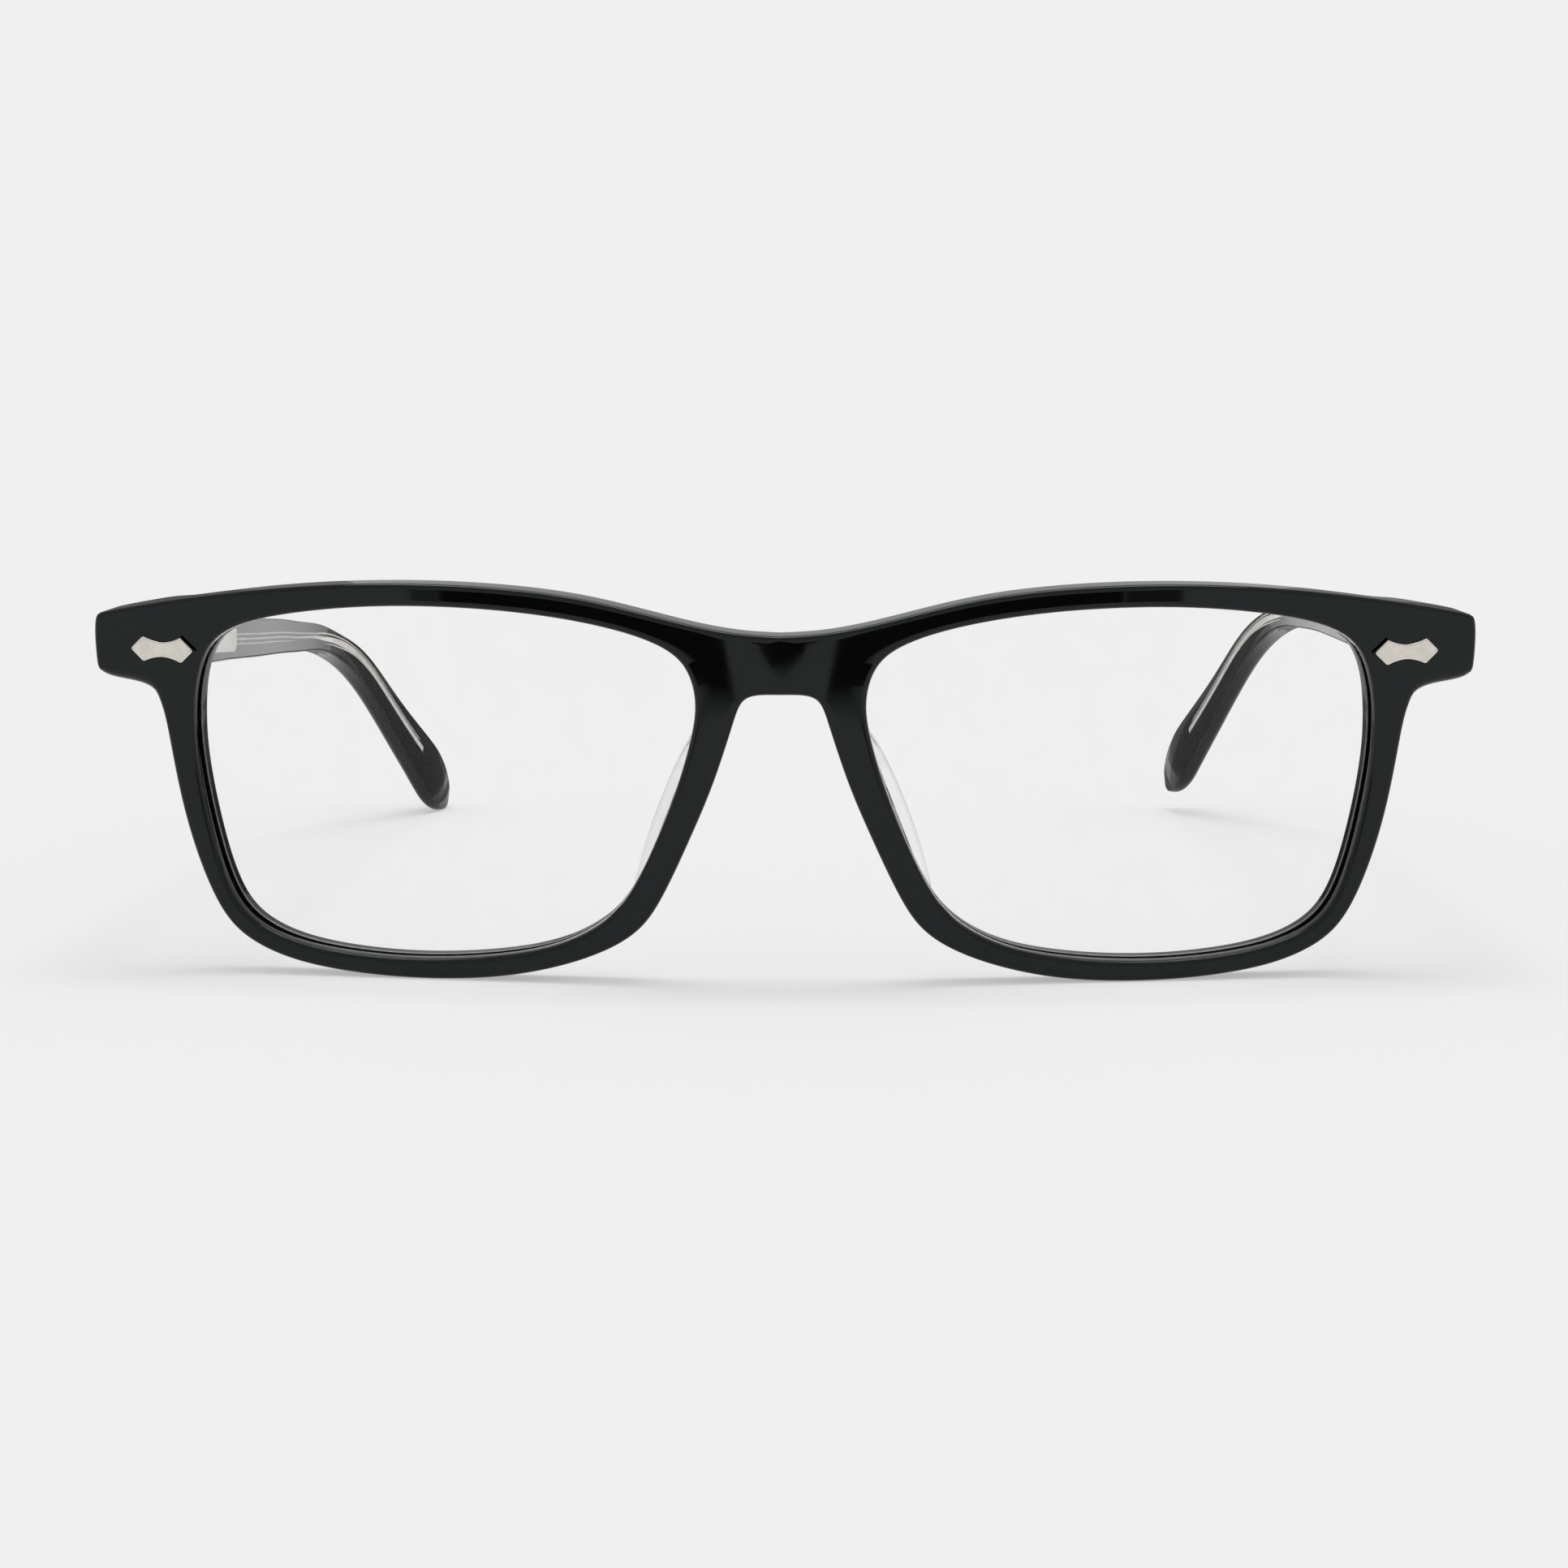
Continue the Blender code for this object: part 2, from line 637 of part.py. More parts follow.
def core_offset(y):
    """How far the core wire lies above the middle of the temple."""
    low, high = CORE_OFFSET
    return low + (high - low) * smoothstep(y, *CORE_RISE_Y)


def core_slot(split, depth, middle):
    """The channel for the core wire, down the layer's inner side."""
    low = middle - CORE_WIDTH / 2 - FIT_GAP
    high = middle + CORE_WIDTH / 2 + FIT_GAP
    return [(split, high), (split + depth, high), (split + depth, low), (split, low)]


def make_temple_layers(side, word, black, clear, metal):
    """The black outer layer with its channel, the clear inner layer, and the core wire between them."""
    frames = temple_frames(side)
    black_rings = []
    clear_rings = []
    core_rings = []
    count = len(frames)
    for number, frame in enumerate(frames):
        height, thick = frame[3:]
        split = CLEAR_SHARE * thick
        share = number / (count - 1)
        depth = CORE_DEPTH + 2 * FIT_GAP if share < CORE_END else CLOSED_SLOT
        middle = core_offset(frame[0].y)
        outline = layer_outline(split, thick, height, SPLIT_ROUND, OUTSIDE_ROUND)
        outline += core_slot(split, depth, middle)
        black_rings.append(temple_ring(frame, outline, side, number == 0))
        plate = layer_outline(0.0, split - FIT_GAP, height, INSIDE_ROUND, SPLIT_ROUND)
        clear_rings.append(temple_ring(frame, plate, side, number == 0))
        if 0 < number and share < CORE_END:
            inner = split + FIT_GAP / 2
            low = middle - CORE_WIDTH / 2
            high = middle + CORE_WIDTH / 2
            wire = ((inner, low), (inner + CORE_DEPTH, low), (inner + CORE_DEPTH, high), (inner, high))
            core_rings.append(temple_ring(frame, wire, side, False))
    outer_layer = loft(f"{word}_temple", black_rings, black)
    inner_layer = loft(f"{word}_temple_inner", clear_rings, clear)
    core = loft(f"{word}_core_wire", core_rings, metal)
    return outer_layer, inner_layer, core


# ---------------------------------------------------------------- nose pads


def pad_outline():
    """The fin's outline: along its root, then back over its rounded edge."""
    length = sqrt((PAD_BOTTOM[0] - PAD_TOP[0]) ** 2 + (PAD_BOTTOM[1] - PAD_TOP[1]) ** 2)
    loop = [(length * k / 6, 0.0) for k in range(7)]
    for i in range(1, 14):
        turn = pi * i / 14
        loop.append((length / 2 + length / 2 * cos(turn), PAD_REACH * sin(turn) ** 0.8))
    return np.array(loop)


def make_pad(name, side, finish):
    root_s = RIM_THICKNESS + FIT_GAP
    top = front_point(side * PAD_TOP[0], PAD_TOP[1], root_s)
    bottom = front_point(side * PAD_BOTTOM[0], PAD_BOTTOM[1], root_s)
    along = (bottom - top).normalized()
    straight_back = Vector((0, cos(FRONT_TILT), sin(FRONT_TILT)))
    outward = Vector((side, 0, 0))
    outward = (outward - along * outward.dot(along)).normalized()
    back = straight_back * cos(PAD_SPLAY) + outward * sin(PAD_SPLAY)
    thickness_way = outward * cos(PAD_SPLAY) - straight_back * sin(PAD_SPLAY)
    loop = pad_outline()
    inset = normals(loop)
    centre = loop.mean(axis=0)
    facing = np.sign(((centre - loop) * inset).sum(axis=1))[:, None]
    rings = []
    for shrink, deep in (
        (PAD_ROUND, 0.0),
        (PAD_ROUND * ROUND_MIDDLE, PAD_ROUND * ROUND_MIDDLE),
        (0.0, PAD_ROUND),
        (0.0, PAD_THICKNESS - PAD_ROUND),
        (PAD_ROUND * ROUND_MIDDLE, PAD_THICKNESS - PAD_ROUND * ROUND_MIDDLE),
        (PAD_ROUND, PAD_THICKNESS),
    ):
        flat = loop + inset * facing * shrink
        start = top + straight_back * (PAD_LIFT * MM)
        rings.append([start + (along * a + back * b + thickness_way * deep) * MM for a, b in flat])
    return loft(name, rings, finish)


# ---------------------------------------------------------------- assembly


def hang(children, name, side):
    """Puts a temple's pieces under an empty on its hinge axis, where they stay in place."""
    pivot = bpy.data.objects.new(name, None)
    pivot.location = place(side * AXIS_X, AXIS_Y, AXIS_Z)
    bpy.context.scene.collection.objects.link(pivot)
    for child in children:
        child.parent = pivot
        child.matrix_parent_inverse = Matrix.Translation(-pivot.location)


def main():
    for old in list(bpy.data.objects):
        bpy.data.objects.remove(old)
    black = material("black_acetate", (0.008, 0.008, 0.009), 0.08)
    clear = material("clear_acetate", (0.9, 0.9, 0.9), 0.05, transmission=0.9)
    pad_clear = material("pad_silicone", (0.9, 0.9, 0.9), 0.15, transmission=0.9)
    glass = material("lens_plastic", (0.95, 0.96, 0.96), 0.02, transmission=1.0)
    silver = material("silver_plate", (0.62, 0.6, 0.56), 0.25, metallic=1.0)
    steel = material("hinge_steel", (0.55, 0.55, 0.55), 0.3, metallic=1.0)
    wire = material("core_wire", (0.66, 0.62, 0.55), 0.25, metallic=1.0)

    front = make_front(black)
    for side, word in ((1, "left"), (-1, "right")):
        make_plaque(f"{word}_plaque", side, front, silver)
        make_front_hinge(f"{word}_front_hinge", side, front, steel)
        make_lens(f"{word}_lens", side, glass)
        make_pad(f"{word}_nose_pad", side, pad_clear)
        make_screw(f"{word}_hinge_screw", side, steel)
        layers = make_temple_layers(side, word, black, clear, wire)
        hinge = make_temple_hinge(f"{word}_temple_hinge", side, layers[1], steel)
        hang([*layers, hinge], f"{word}_temple_pivot", side)


main()
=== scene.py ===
from math import cos, pi, radians, sin, sqrt

import bmesh
import bpy
import numpy as np
from mathutils import Matrix, Vector


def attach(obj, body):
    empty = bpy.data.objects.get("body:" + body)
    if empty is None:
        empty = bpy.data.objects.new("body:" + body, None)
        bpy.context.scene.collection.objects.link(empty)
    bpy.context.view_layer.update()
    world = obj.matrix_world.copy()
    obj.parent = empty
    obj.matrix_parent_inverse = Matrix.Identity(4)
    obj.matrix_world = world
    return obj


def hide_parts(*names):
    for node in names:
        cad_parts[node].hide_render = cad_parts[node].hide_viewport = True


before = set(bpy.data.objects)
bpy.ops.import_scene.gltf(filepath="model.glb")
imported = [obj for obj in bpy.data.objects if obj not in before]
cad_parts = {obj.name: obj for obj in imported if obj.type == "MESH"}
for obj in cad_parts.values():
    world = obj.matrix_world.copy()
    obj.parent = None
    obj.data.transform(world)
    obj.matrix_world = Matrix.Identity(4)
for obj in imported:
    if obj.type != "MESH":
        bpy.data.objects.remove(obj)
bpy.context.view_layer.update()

# The shapes below are in millimetres: u sideways along the bent front, v up, s depth behind its face.
MM = 0.001
FACE_RADIUS = 260.0
FRONT_TILT = radians(6.5)
RIM_THICKNESS = 4.0
ENDPIECE_THICKNESS = 6.0
THICKENING_U = (61.0, 66.0)
THICKENING_V = (21.0, 29.0)
LIFT = -0.13
SHIFT_Y = -70.1

# Rounding of the front's edges, and how finely it is made.
OUTER_ROUND = 0.6
TOP_ROUND = 0.45
UNDER_ROUND = 1.15
# Rounding of the upper back edge, at the rims and at the endpieces, and where it and its slant change.
TOP_BACK_ROUND = (1.4, 2.3)
TOP_BACK_U = (50.0, 68.0)
LEANING_U = (40.0, 52.0)
INNER_ROUND = 0.6
BACK_ROUND = 0.5
ROUND_STEPS = 5
FINER = 3
FACE_CELLS = 6
BRIDGE_CELLS = 12

OUTER_OUTLINE = (
    (0, 30.65), (1.6, 30.65), (2.9, 30.5), (3.8, 30.0), (4.35, 29.1),
    (4.8, 27.8), (6.7, 22.0), (9.15, 16.0), (12.2, 9.5), (14.7, 5.9),
    (18.3, 3.5), (23.5, 1.6), (30.5, 0.25), (40.0, -0.15), (48.0, 0.42),
    (53.5, 1.62), (57.6, 3.7), (60.1, 6.7), (62.3, 12.0), (63.9, 18.3),
    (64.9, 24.5), (65.45, 27.4), (66.35, 29.2), (68.6, 30.1), (71.6, 30.55),
    (72.55, 31.1), (72.87, 32.6), (72.8, 36.3), (72.4, 37.15), (71.3, 37.55),
    (66.0, 38.65), (57.0, 40.1), (47.0, 41.2), (36.0, 41.6), (26.0, 41.15),
    (18.0, 39.97), (9.5, 37.95), (4.0, 36.98), (0, 36.72),
)
LENS_OPENING = (
    (8.73, 30.2), (9.1, 26.4), (10.65, 21.0), (13.0, 15.0), (15.5, 10.0),
    (18.0, 7.0), (22.5, 4.35), (29.0, 2.75), (38.0, 2.0), (47.0, 2.4),
    (53.0, 3.65), (56.8, 5.8), (58.9, 9.0), (60.5, 14.4), (61.65, 21.0),
    (61.95, 26.5), (61.35, 31.0), (59.7, 34.5), (56.3, 36.7), (50.0, 38.2),
    (42.0, 39.07), (34.0, 39.22), (26.0, 38.75), (18.5, 37.6), (12.9, 35.9),
    (9.9, 33.7),
)
# Facing points of the outer outline and the opening, and the cells up to the next pair.
STATIONS = (
    (0, 0, 5), (4, 1, 4), (6, 2, 4), (7, 3, 5), (8, 4, 6), (10, 6, 7), (13, 8, 7), (15, 10, 7),
    (17, 12, 8), (20, 15, 7), (24, 16, 5), (27, 17, 6), (30, 18, 6), (32, 20, 5), (34, 22, 7),
    (36, 24, 5), (38, 25, 0),
)
GROOVE = ((0.0, 1.15), (0.65, 1.95), (0.0, 2.75))
# The lens's edge, front to back, and the number of its first ring that is left dull.
LENS_EDGE = ((-0.02, 1.2), (0.58, 1.95), (0.1, 2.55), (-0.02, 2.7))
GROUND_BAND = 2
LENS_SIDES = 156
LENS_RINGS = (0.97, 0.88, 0.74, 0.58, 0.42, 0.26, 0.12)

# The bow-tie plaque, its recess, and the relief cut at the recess's upper nasal corner.
PLAQUE_CENTRE = (65.0, 33.8)
PLAQUE_TIP = 3.6
PLAQUE_LOBE = (2.15, 1.36)
PLAQUE_WAIST = 0.8
PLAQUE_PROUD = 0.15
PLAQUE_DEPTH = 0.75
PLAQUE_GAP = 0.06
PLAQUE_CORNER = 0.34
# The plaque's bevel: how far outside its outline, and how deep behind its face.
PLAQUE_BEVEL = ((-0.34, 0.0), (-0.13, 0.0), (-0.06, 0.025), (-0.015, 0.075), (0.0, 0.14))
RELIEF = ((-2.15, 1.44), (-3.75, -0.02), (-3.97, 0.18), (-2.36, 1.62))
RELIEF_DEPTH = 0.55

# The front's hinge leaf, the hinge axis, the temple's hinge leaf and the play round a leaf.
FRONT_LEAF = (65.0, 34.0)
FRONT_LEAF_SIZE = (3.7, 5.4)
FRONT_LEAF_DEPTH = 0.9
AXIS_Y = 12.25
AXIS_Z = 35.2
KNUCKLE_RADIUS = 1.25
TEMPLE_LEAF_LENGTH = 11.0
TEMPLE_LEAF_HEIGHT = 3.4
TEMPLE_LEAF_THICKNESS = 0.85
SNUG = 0.05
# Where cutters start in front of the face, and how far they go past the back.
BEYOND_FACE = -1.0
BEYOND_BACK = 2

# The temple: distance back, height, inner face's X, height of the section, its thickness.
TEMPLE_ROWS = (
    (11.0, 34.95, 64.2, 6.3, 5.7),
    (24.0, 34.05, 64.4, 5.8, 5.2),
    (42.0, 32.85, 64.8, 5.1, 4.5),
    (62.0, 31.5, 65.3, 4.7, 4.1),
    (80.0, 30.4, 65.7, 4.4, 3.7),
    (94.0, 29.3, 65.6, 3.9, 3.5),
    (104.0, 28.5, 65.1, 3.6, 3.3),
    (112.0, 26.4, 63.75, 3.7, 3.0),
    (120.0, 22.8, 61.9, 4.9, 2.7),
    (128.0, 15.8, 59.4, 6.4, 2.35),
    (136.0, 8.3, 56.3, 8.8, 2.3),
    (142.5, 1.74, 53.65, 11.4, 2.2),
)
LEFT_RAISE = 3.5
RAISE_TURN = radians(0.95)
LEFT_SPLAY = 0.006
TEMPLE_STATIONS = 90
TIP_START = 0.93
TIP_STATIONS = 14
# The clear layer's share of the thickness, before and after it thins.
CLEAR_SHARE = (0.34, 0.1)
THINNING_Y = (100.0, 118.0)
FRONT_GAP = 0.3
BURIED = 0.04
SEAM_ROUND = 0.06
# Edge rounding of the temple, at the hinge and at the tip, and where it changes.
INSIDE_ROUND = (0.28, 0.62)
OUTSIDE_ROUND = (0.95, 1.15)
SOFTENING_Y = (96.0, 124.0)

# The core wire's strands: distance back, height above the temple's middle, width.
CORE_PROUD = 0.07
CORE_SUNK = 0.3
STRAND_CROWN = 0.6
STRAND_EDGE = 0.03
CORE_STRANDS = (
    ((45.0, 0.42, 0.25), (100.0, 0.42, 0.25), (112.0, 1.3, 0.21), (120.0, 1.72, 0.19), (135.2, 1.95, 0.19)),
    ((45.0, -0.12, 0.3), (90.0, -0.12, 0.32), (104.0, 0.0, 0.52), (112.0, 0.62, 0.95), (120.0, 1.0, 1.1),
     (136.0, 1.3, 0.85)),
    ((45.0, -0.66, 0.25), (80.0, -0.62, 0.2), (88.0, -0.5, 0.06)),
    ((104.0, -0.62, 0.06), (110.0, -0.2, 0.25), (116.0, 0.35, 0.3), (124.0, 0.5, 0.13), (136.0, 0.72, 0.25)),
)
# The wire's flat, round-ended front end.
PADDLE_Y = (26.0, 46.5)
PADDLE_HALF = 1.55

# The nose pad: a clear fin set on the back of the nasal rim.
PAD_TOP = (6.4, 26.4)
PAD_BOTTOM = (14.1, 6.8)
PAD_SPLAY = radians(20)
PAD_REACH = 4.5
PAD_LIFT = 0.4
PAD_THICKNESS = 1.7
PAD_ROUND = 0.5
PAD_ROOT_GAP = 0.3

# How much paler the faint flow lines in the clear plastics are.
FLOW_LINES = 0.015

# The light, the floor and the camera.
PALE = 0.871
# Flags on the floor in front, mirrored in the front: the dark panes on the upper rims, their paler ends
# and the tongue on the bridge. Each has its outline, its density, its near edge and the length of its fade.
FLAG_HEIGHT = 0.4
FLAG_COLOR = (0.004, 0.004, 0.0045, 1)
FLAGS = (
    ("right_flag", ((-10, -84), (-18.6, -135), (-27, -200), (-121, -200), (-93.6, -135), (-71, -84)),
     1.0, -84.0, 14.0),
    ("right_half_flag", ((-71.5, -84), (-94.1, -135), (-121.5, -200), (-133, -200), (-102, -135), (-78, -84)),
     0.65, -84.0, 14.0),
    ("left_flag", ((6, -84), (12.3, -135), (20, -200), (111, -200), (86, -135), (67, -84)),
     1.0, -84.0, 14.0),
    ("left_half_flag", ((67.5, -84), (86.5, -135), (111.5, -200), (133, -200), (103, -135), (80, -84)),
     0.85, -84.0, 14.0),
    ("middle_flag", ((-6.6, -112), (-2.2, -101), (2.2, -112), (5.5, -124), (6.5, -150), (-11, -150),
                     (-9.6, -124)), 1.0, -101.0, 8.0),
)
# Flags behind, mirrored in the insides of the drops: wedges on the floor by the angle from straight back
# where each starts and its density, and upright ones by the angle where each starts.
DROP_PLACE = (50, 135)
DROP_FLAG_REACH = 600
DROP_FLAGS = ((26, 0.4), (31, 0.4), (36, 0.45))
DROP_FLAG_END = 72
DROP_WALLS = (22, 26)
DROP_WALL_END = 58
DROP_WALL_DENSITY = 0.55
DROP_WALL_HEIGHT = 220.0
FLOOR_HALF = 8.0
FLOOR_ALBEDO = 0.8
FLOOR_GLOW = 0.45
SUN_SHARE = 0.4
SUN_TILT = radians(10)
SUN_BACK = radians(2)
SUN_ANGLE = radians(24)
CAMERA_PLACE = (0.007, -0.3701, 0.057255)
CAMERA_RIGHT = (0.999855647, 0.0169854677, 0.000422923)
CAMERA_UP = (-0.0024621, 0.12021409, 0.99274494)
CAMERA_AHEAD = (-0.0168114, 0.99260267, -0.12023855)
CAMERA_LENS = 67.742
CAMERA_SHIFT = -0.0102


# ---------------------------------------------------------------- curves and frames


def smoothstep(x, low, high):
    """0 below low, 1 above high, smooth between them."""
    t = min(max((x - low) / (high - low), 0.0), 1.0)
    return t * t * (3 - 2 * t)


def between(pair, share):
    return pair[0] + (pair[1] - pair[0]) * share


class Curve:
    """A cubic spline through points; its parameter is the point's number, whole at each point."""

    def __init__(self, points, closed=False):
        p = np.array(points, float)
        if closed:
            p = np.vstack([p, p[:1]])
        self.p = p
        self.t = np.concatenate([[0], np.cumsum(np.linalg.norm(np.diff(p, axis=0), axis=1) ** 0.5)])
        self.m = self.slopes(closed)

    def slopes(self, closed):
        """Second derivatives at the points."""
        n = len(self.t)
        h = np.diff(self.t)
        a = np.zeros((n, n))
        b = np.zeros_like(self.p)
        rate = np.diff(self.p, axis=0) / h[:, None]
        for i in range(1, n - 1):
            a[i, i - 1 : i + 2] = h[i - 1], 2 * (h[i - 1] + h[i]), h[i]
            b[i] = 6 * (rate[i] - rate[i - 1])
        if closed:
            a[0, [0, -1]] = 1, -1
            a[-1, [0, 1]] += 2 * h[0], h[0]
            a[-1, [-2, -1]] += h[-1], 2 * h[-1]
            b[-1] = 6 * (rate[0] - rate[-1])
        else:
            a[0, 0] = a[-1, -1] = 1
        return np.linalg.solve(a, b)

    def at(self, q):
        q = np.atleast_1d(np.asarray(q, float))
        i = np.clip(q.astype(int), 0, len(self.t) - 2)
        h = (self.t[i + 1] - self.t[i])[:, None]
        x = (q - i)[:, None]
        cubic = (1 - x) ** 3 * self.m[i] + x**3 * self.m[i + 1]
        bend = (1 - x) * self.m[i] + x * self.m[i + 1]
        return (1 - x) * self.p[i] + x * self.p[i + 1] + h * h / 6 * (cubic - bend)

    def spaced(self, start, end, cells):
        """Points at equal distances along the curve from start, without the one at end."""
        q = np.linspace(start, end, 40 * cells + 1)
        points = self.at(q)
        far = np.concatenate([[0], np.cumsum(np.linalg.norm(np.diff(points, axis=0), axis=1))])
        return self.at(np.interp(np.arange(cells) * far[-1] / cells, far, q))


def front_point(u, v, s):
    """A point of the front, bent round the face and tilted, standing on the floor."""
    lowest = (FACE_RADIUS - FACE_RADIUS * cos(40 / FACE_RADIUS)) * sin(FRONT_TILT)
    x = (FACE_RADIUS - s) * sin(u / FACE_RADIUS)
    back = FACE_RADIUS - (FACE_RADIUS - s) * cos(u / FACE_RADIUS)
    y = -v * sin(FRONT_TILT) + back * cos(FRONT_TILT)
    z = v * cos(FRONT_TILT) + back * sin(FRONT_TILT) - lowest - LIFT
    return Vector((x, y + SHIFT_Y, z)) * MM


def place(x, y, z):
    """A point given by millimetres from the middle of the bridge's foot."""
    return Vector((x, y + SHIFT_Y, z)) * MM


def thickness(u, v):
    """The front's thickness, which grows towards the hinge."""
    more = smoothstep(abs(u), *THICKENING_U) * smoothstep(v, *THICKENING_V)
    return RIM_THICKNESS + (ENDPIECE_THICKNESS - RIM_THICKNESS) * more


def normals(loop, closed=True):
    """Unit normals on the left of a line of points."""
    if closed:
        along = np.roll(loop, -1, axis=0) - np.roll(loop, 1, axis=0)
    else:
        along = np.gradient(loop, axis=0)
        along[[0, -1], 1] = 0
    along /= np.linalg.norm(along, axis=1)[:, None]
    return np.stack([-along[:, 1], along[:, 0]], axis=1)


def rounded(corners, radius, steps=5):
    """A polygon with each corner turned into an arc."""
    loop = []
    count = len(corners)
    for i in range(count):
        here = np.array(corners[i], float)
        before = np.array(corners[i - 1], float) - here
        after = np.array(corners[(i + 1) % count], float) - here
        reach_before = np.linalg.norm(before)
        reach_after = np.linalg.norm(after)
        before /= reach_before
        after /= reach_after
        half = np.arccos(np.clip(before @ after, -1, 1)) / 2
        cut = min(radius / np.tan(half), 0.45 * reach_before, 0.45 * reach_after)
        start = here + before * cut
        end = here + after * cut
        for k in range(steps + 1):
            t = k / steps
            loop.append((1 - t) ** 2 * start + 2 * t * (1 - t) * here + t * t * end)
    return np.array(loop)


# ---------------------------------------------------------------- meshes


def mesh_object(name, points, faces, sharp_above=38):
    """A closed, smooth-shaded mesh object from points in metres, with its faces turned outwards."""
    mesh = bmesh.new()
    verts = [mesh.verts.new(p) for p in points]
    for face in faces:
        mesh.faces.new([verts[i] for i in face])
    bmesh.ops.remove_doubles(mesh, verts=mesh.verts, dist=1e-7)
    bmesh.ops.recalc_face_normals(mesh, faces=mesh.faces)
    data = bpy.data.meshes.new(name)
    mesh.to_mesh(data)
    mesh.free()
    made = bpy.data.objects.new(name, data)
    bpy.context.scene.collection.objects.link(made)
    smooth(made, sharp_above)
    return made


def smooth(made, sharp_above=38):
    made.data.shade_smooth()
    made.data.set_sharp_from_angle(angle=radians(sharp_above))


def ring_faces(count, sides, first=0, capped=True):
    """Faces of a tube through rings of points, with flat ends."""
    faces = []
    if capped:
        last = first + (count - 1) * sides
        faces += [tuple(range(first, first + sides)), tuple(range(last, last + sides))]
    for k in range(count - 1):
        for i in range(sides):
            j = (i + 1) % sides
            a = first + k * sides
            b = a + sides
            faces.append((a + i, a + j, b + j, b + i))
    return faces


def loft(name, rings, sharp_above=38):
    points = [p for ring in rings for p in ring]
    return mesh_object(name, points, ring_faces(len(rings), len(rings[0])), sharp_above)


def lofts(name, tubes, sharp_above=38):
    """Several tubes as one object."""
    points = []
    faces = []
    for rings in tubes:
        faces += ring_faces(len(rings), len(rings[0]), len(points))
        points += [p for ring in rings for p in ring]
    return mesh_object(name, points, faces, sharp_above)


def cut(target, *cutters, sharp_above=38):
    """Cuts shapes out of an object for good, and removes them."""
    for tool in cutters:
        step = target.modifiers.new("cut", "BOOLEAN")
        step.operation = "DIFFERENCE"
        step.solver = "EXACT"
        step.object = tool
    shaped = target.evaluated_get(bpy.context.evaluated_depsgraph_get())
    data = bpy.data.meshes.new_from_object(shaped)
    target.modifiers.clear()
    data.name = target.name
    target.data = data
    for tool in cutters:
        bpy.data.objects.remove(tool)
    smooth(target, sharp_above)


def even_normals(made):
    step = made.modifiers.new("even normals", "WEIGHTED_NORMAL")
    step.keep_sharp = True


def mirrored(point, side):
    return Vector((point[0] * side, point[1], point[2]))


def finish_piece(made, body, slot, finish, *nodes):
    """Gives a piece its material and its CAD body, and hides the CAD nodes that it stands for. The slot
    argument is not used.
    """
    made.data.materials.clear()
    made.data.materials.append(finish)
    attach(made, body)
    if nodes:
        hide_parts(*nodes)
    return made


def second_finish(made, finish, faces):
    """Some faces of a piece get another material."""
    made.data.materials.append(finish)
    for number in faces:
        made.data.polygons[number].material_index = 1


# ---------------------------------------------------------------- front


def quarter(radius, steps=ROUND_STEPS):
    """(offset from the edge, depth) round an edge, from its face to its side."""
    turns = [pi / 2 * k / steps for k in range(1, steps + 1)]
    return [(radius - radius * sin(a), radius - radius * cos(a)) for a in turns]


def edge_round(point, inward):
    """The outer edge's rounding: smaller along the top, larger under the endpiece."""
    up = smoothstep(-inward[1], 0.2, 0.9)
    under = smoothstep(inward[1], 0.3, 0.9) * smoothstep(point[0], 62.5, 65.5)
    return OUTER_ROUND + (TOP_ROUND - OUTER_ROUND) * up + (UNDER_ROUND - OUTER_ROUND) * under


def back_round(point, inward):
    """The outer edge's rounding at the back: wide along the top, widest at the endpiece."""
    up = smoothstep(-inward[1], 0.2, 0.9)
    wide = between(TOP_BACK_ROUND, smoothstep(point[0], *TOP_BACK_U))
    return edge_round(point, inward) + (wide - TOP_ROUND) * up


def leaning(inner_back, outer, outer_normal):
    """A step of one millimetre into the rim, which follows the station's own line near the endpiece."""
    way = inner_back - outer
    way /= max(way @ outer_normal, 0.2 * np.linalg.norm(way))
    share = smoothstep(outer[0], *LEANING_U) * smoothstep(-outer_normal[1], 0.1, 0.6)
    return outer_normal + (way - outer_normal) * share


def section_of_rim(inner, inner_normal, outer, outer_normal, lean, behind, walled):
    """(u, v, s) round the rim at one station: face, outer wall, back, and inner wall with the lens groove."""
    deep_inner = thickness(*inner)
    radius = edge_round(outer, outer_normal) if walled else 0.0
    inner_face = inner + INNER_ROUND * inner_normal
    outer_face = outer + radius * outer_normal if walled else outer
    spread = [inner_face + (outer_face - inner_face) * k / FACE_CELLS for k in range(FACE_CELLS + 1)]
    ring = [(*p, 0.0) for p in spread]
    wall = []
    if walled:
        wall = [(*(outer + offset * outer_normal), s) for offset, s in quarter(radius)]
        for offset, s in reversed(quarter(back_round(outer, outer_normal))):
            p = outer + offset * lean
            wall.append((*p, thickness(*p) - s))
    inner_back = inner + BACK_ROUND * inner_normal
    rear = [inner_back + (behind - inner_back) * k / FACE_CELLS for k in range(FACE_CELLS + 1)]
    back = [(*p, thickness(*p)) for p in reversed(rear)]
    hole = [(offset, deep_inner - s) for offset, s in quarter(BACK_ROUND)]
    hole += list(reversed(GROOVE))
    hole += list(reversed(quarter(INNER_ROUND)))
    groove = [(*(inner + offset * inner_normal), s) for offset, s in hole]
    return ring, wall, back, groove


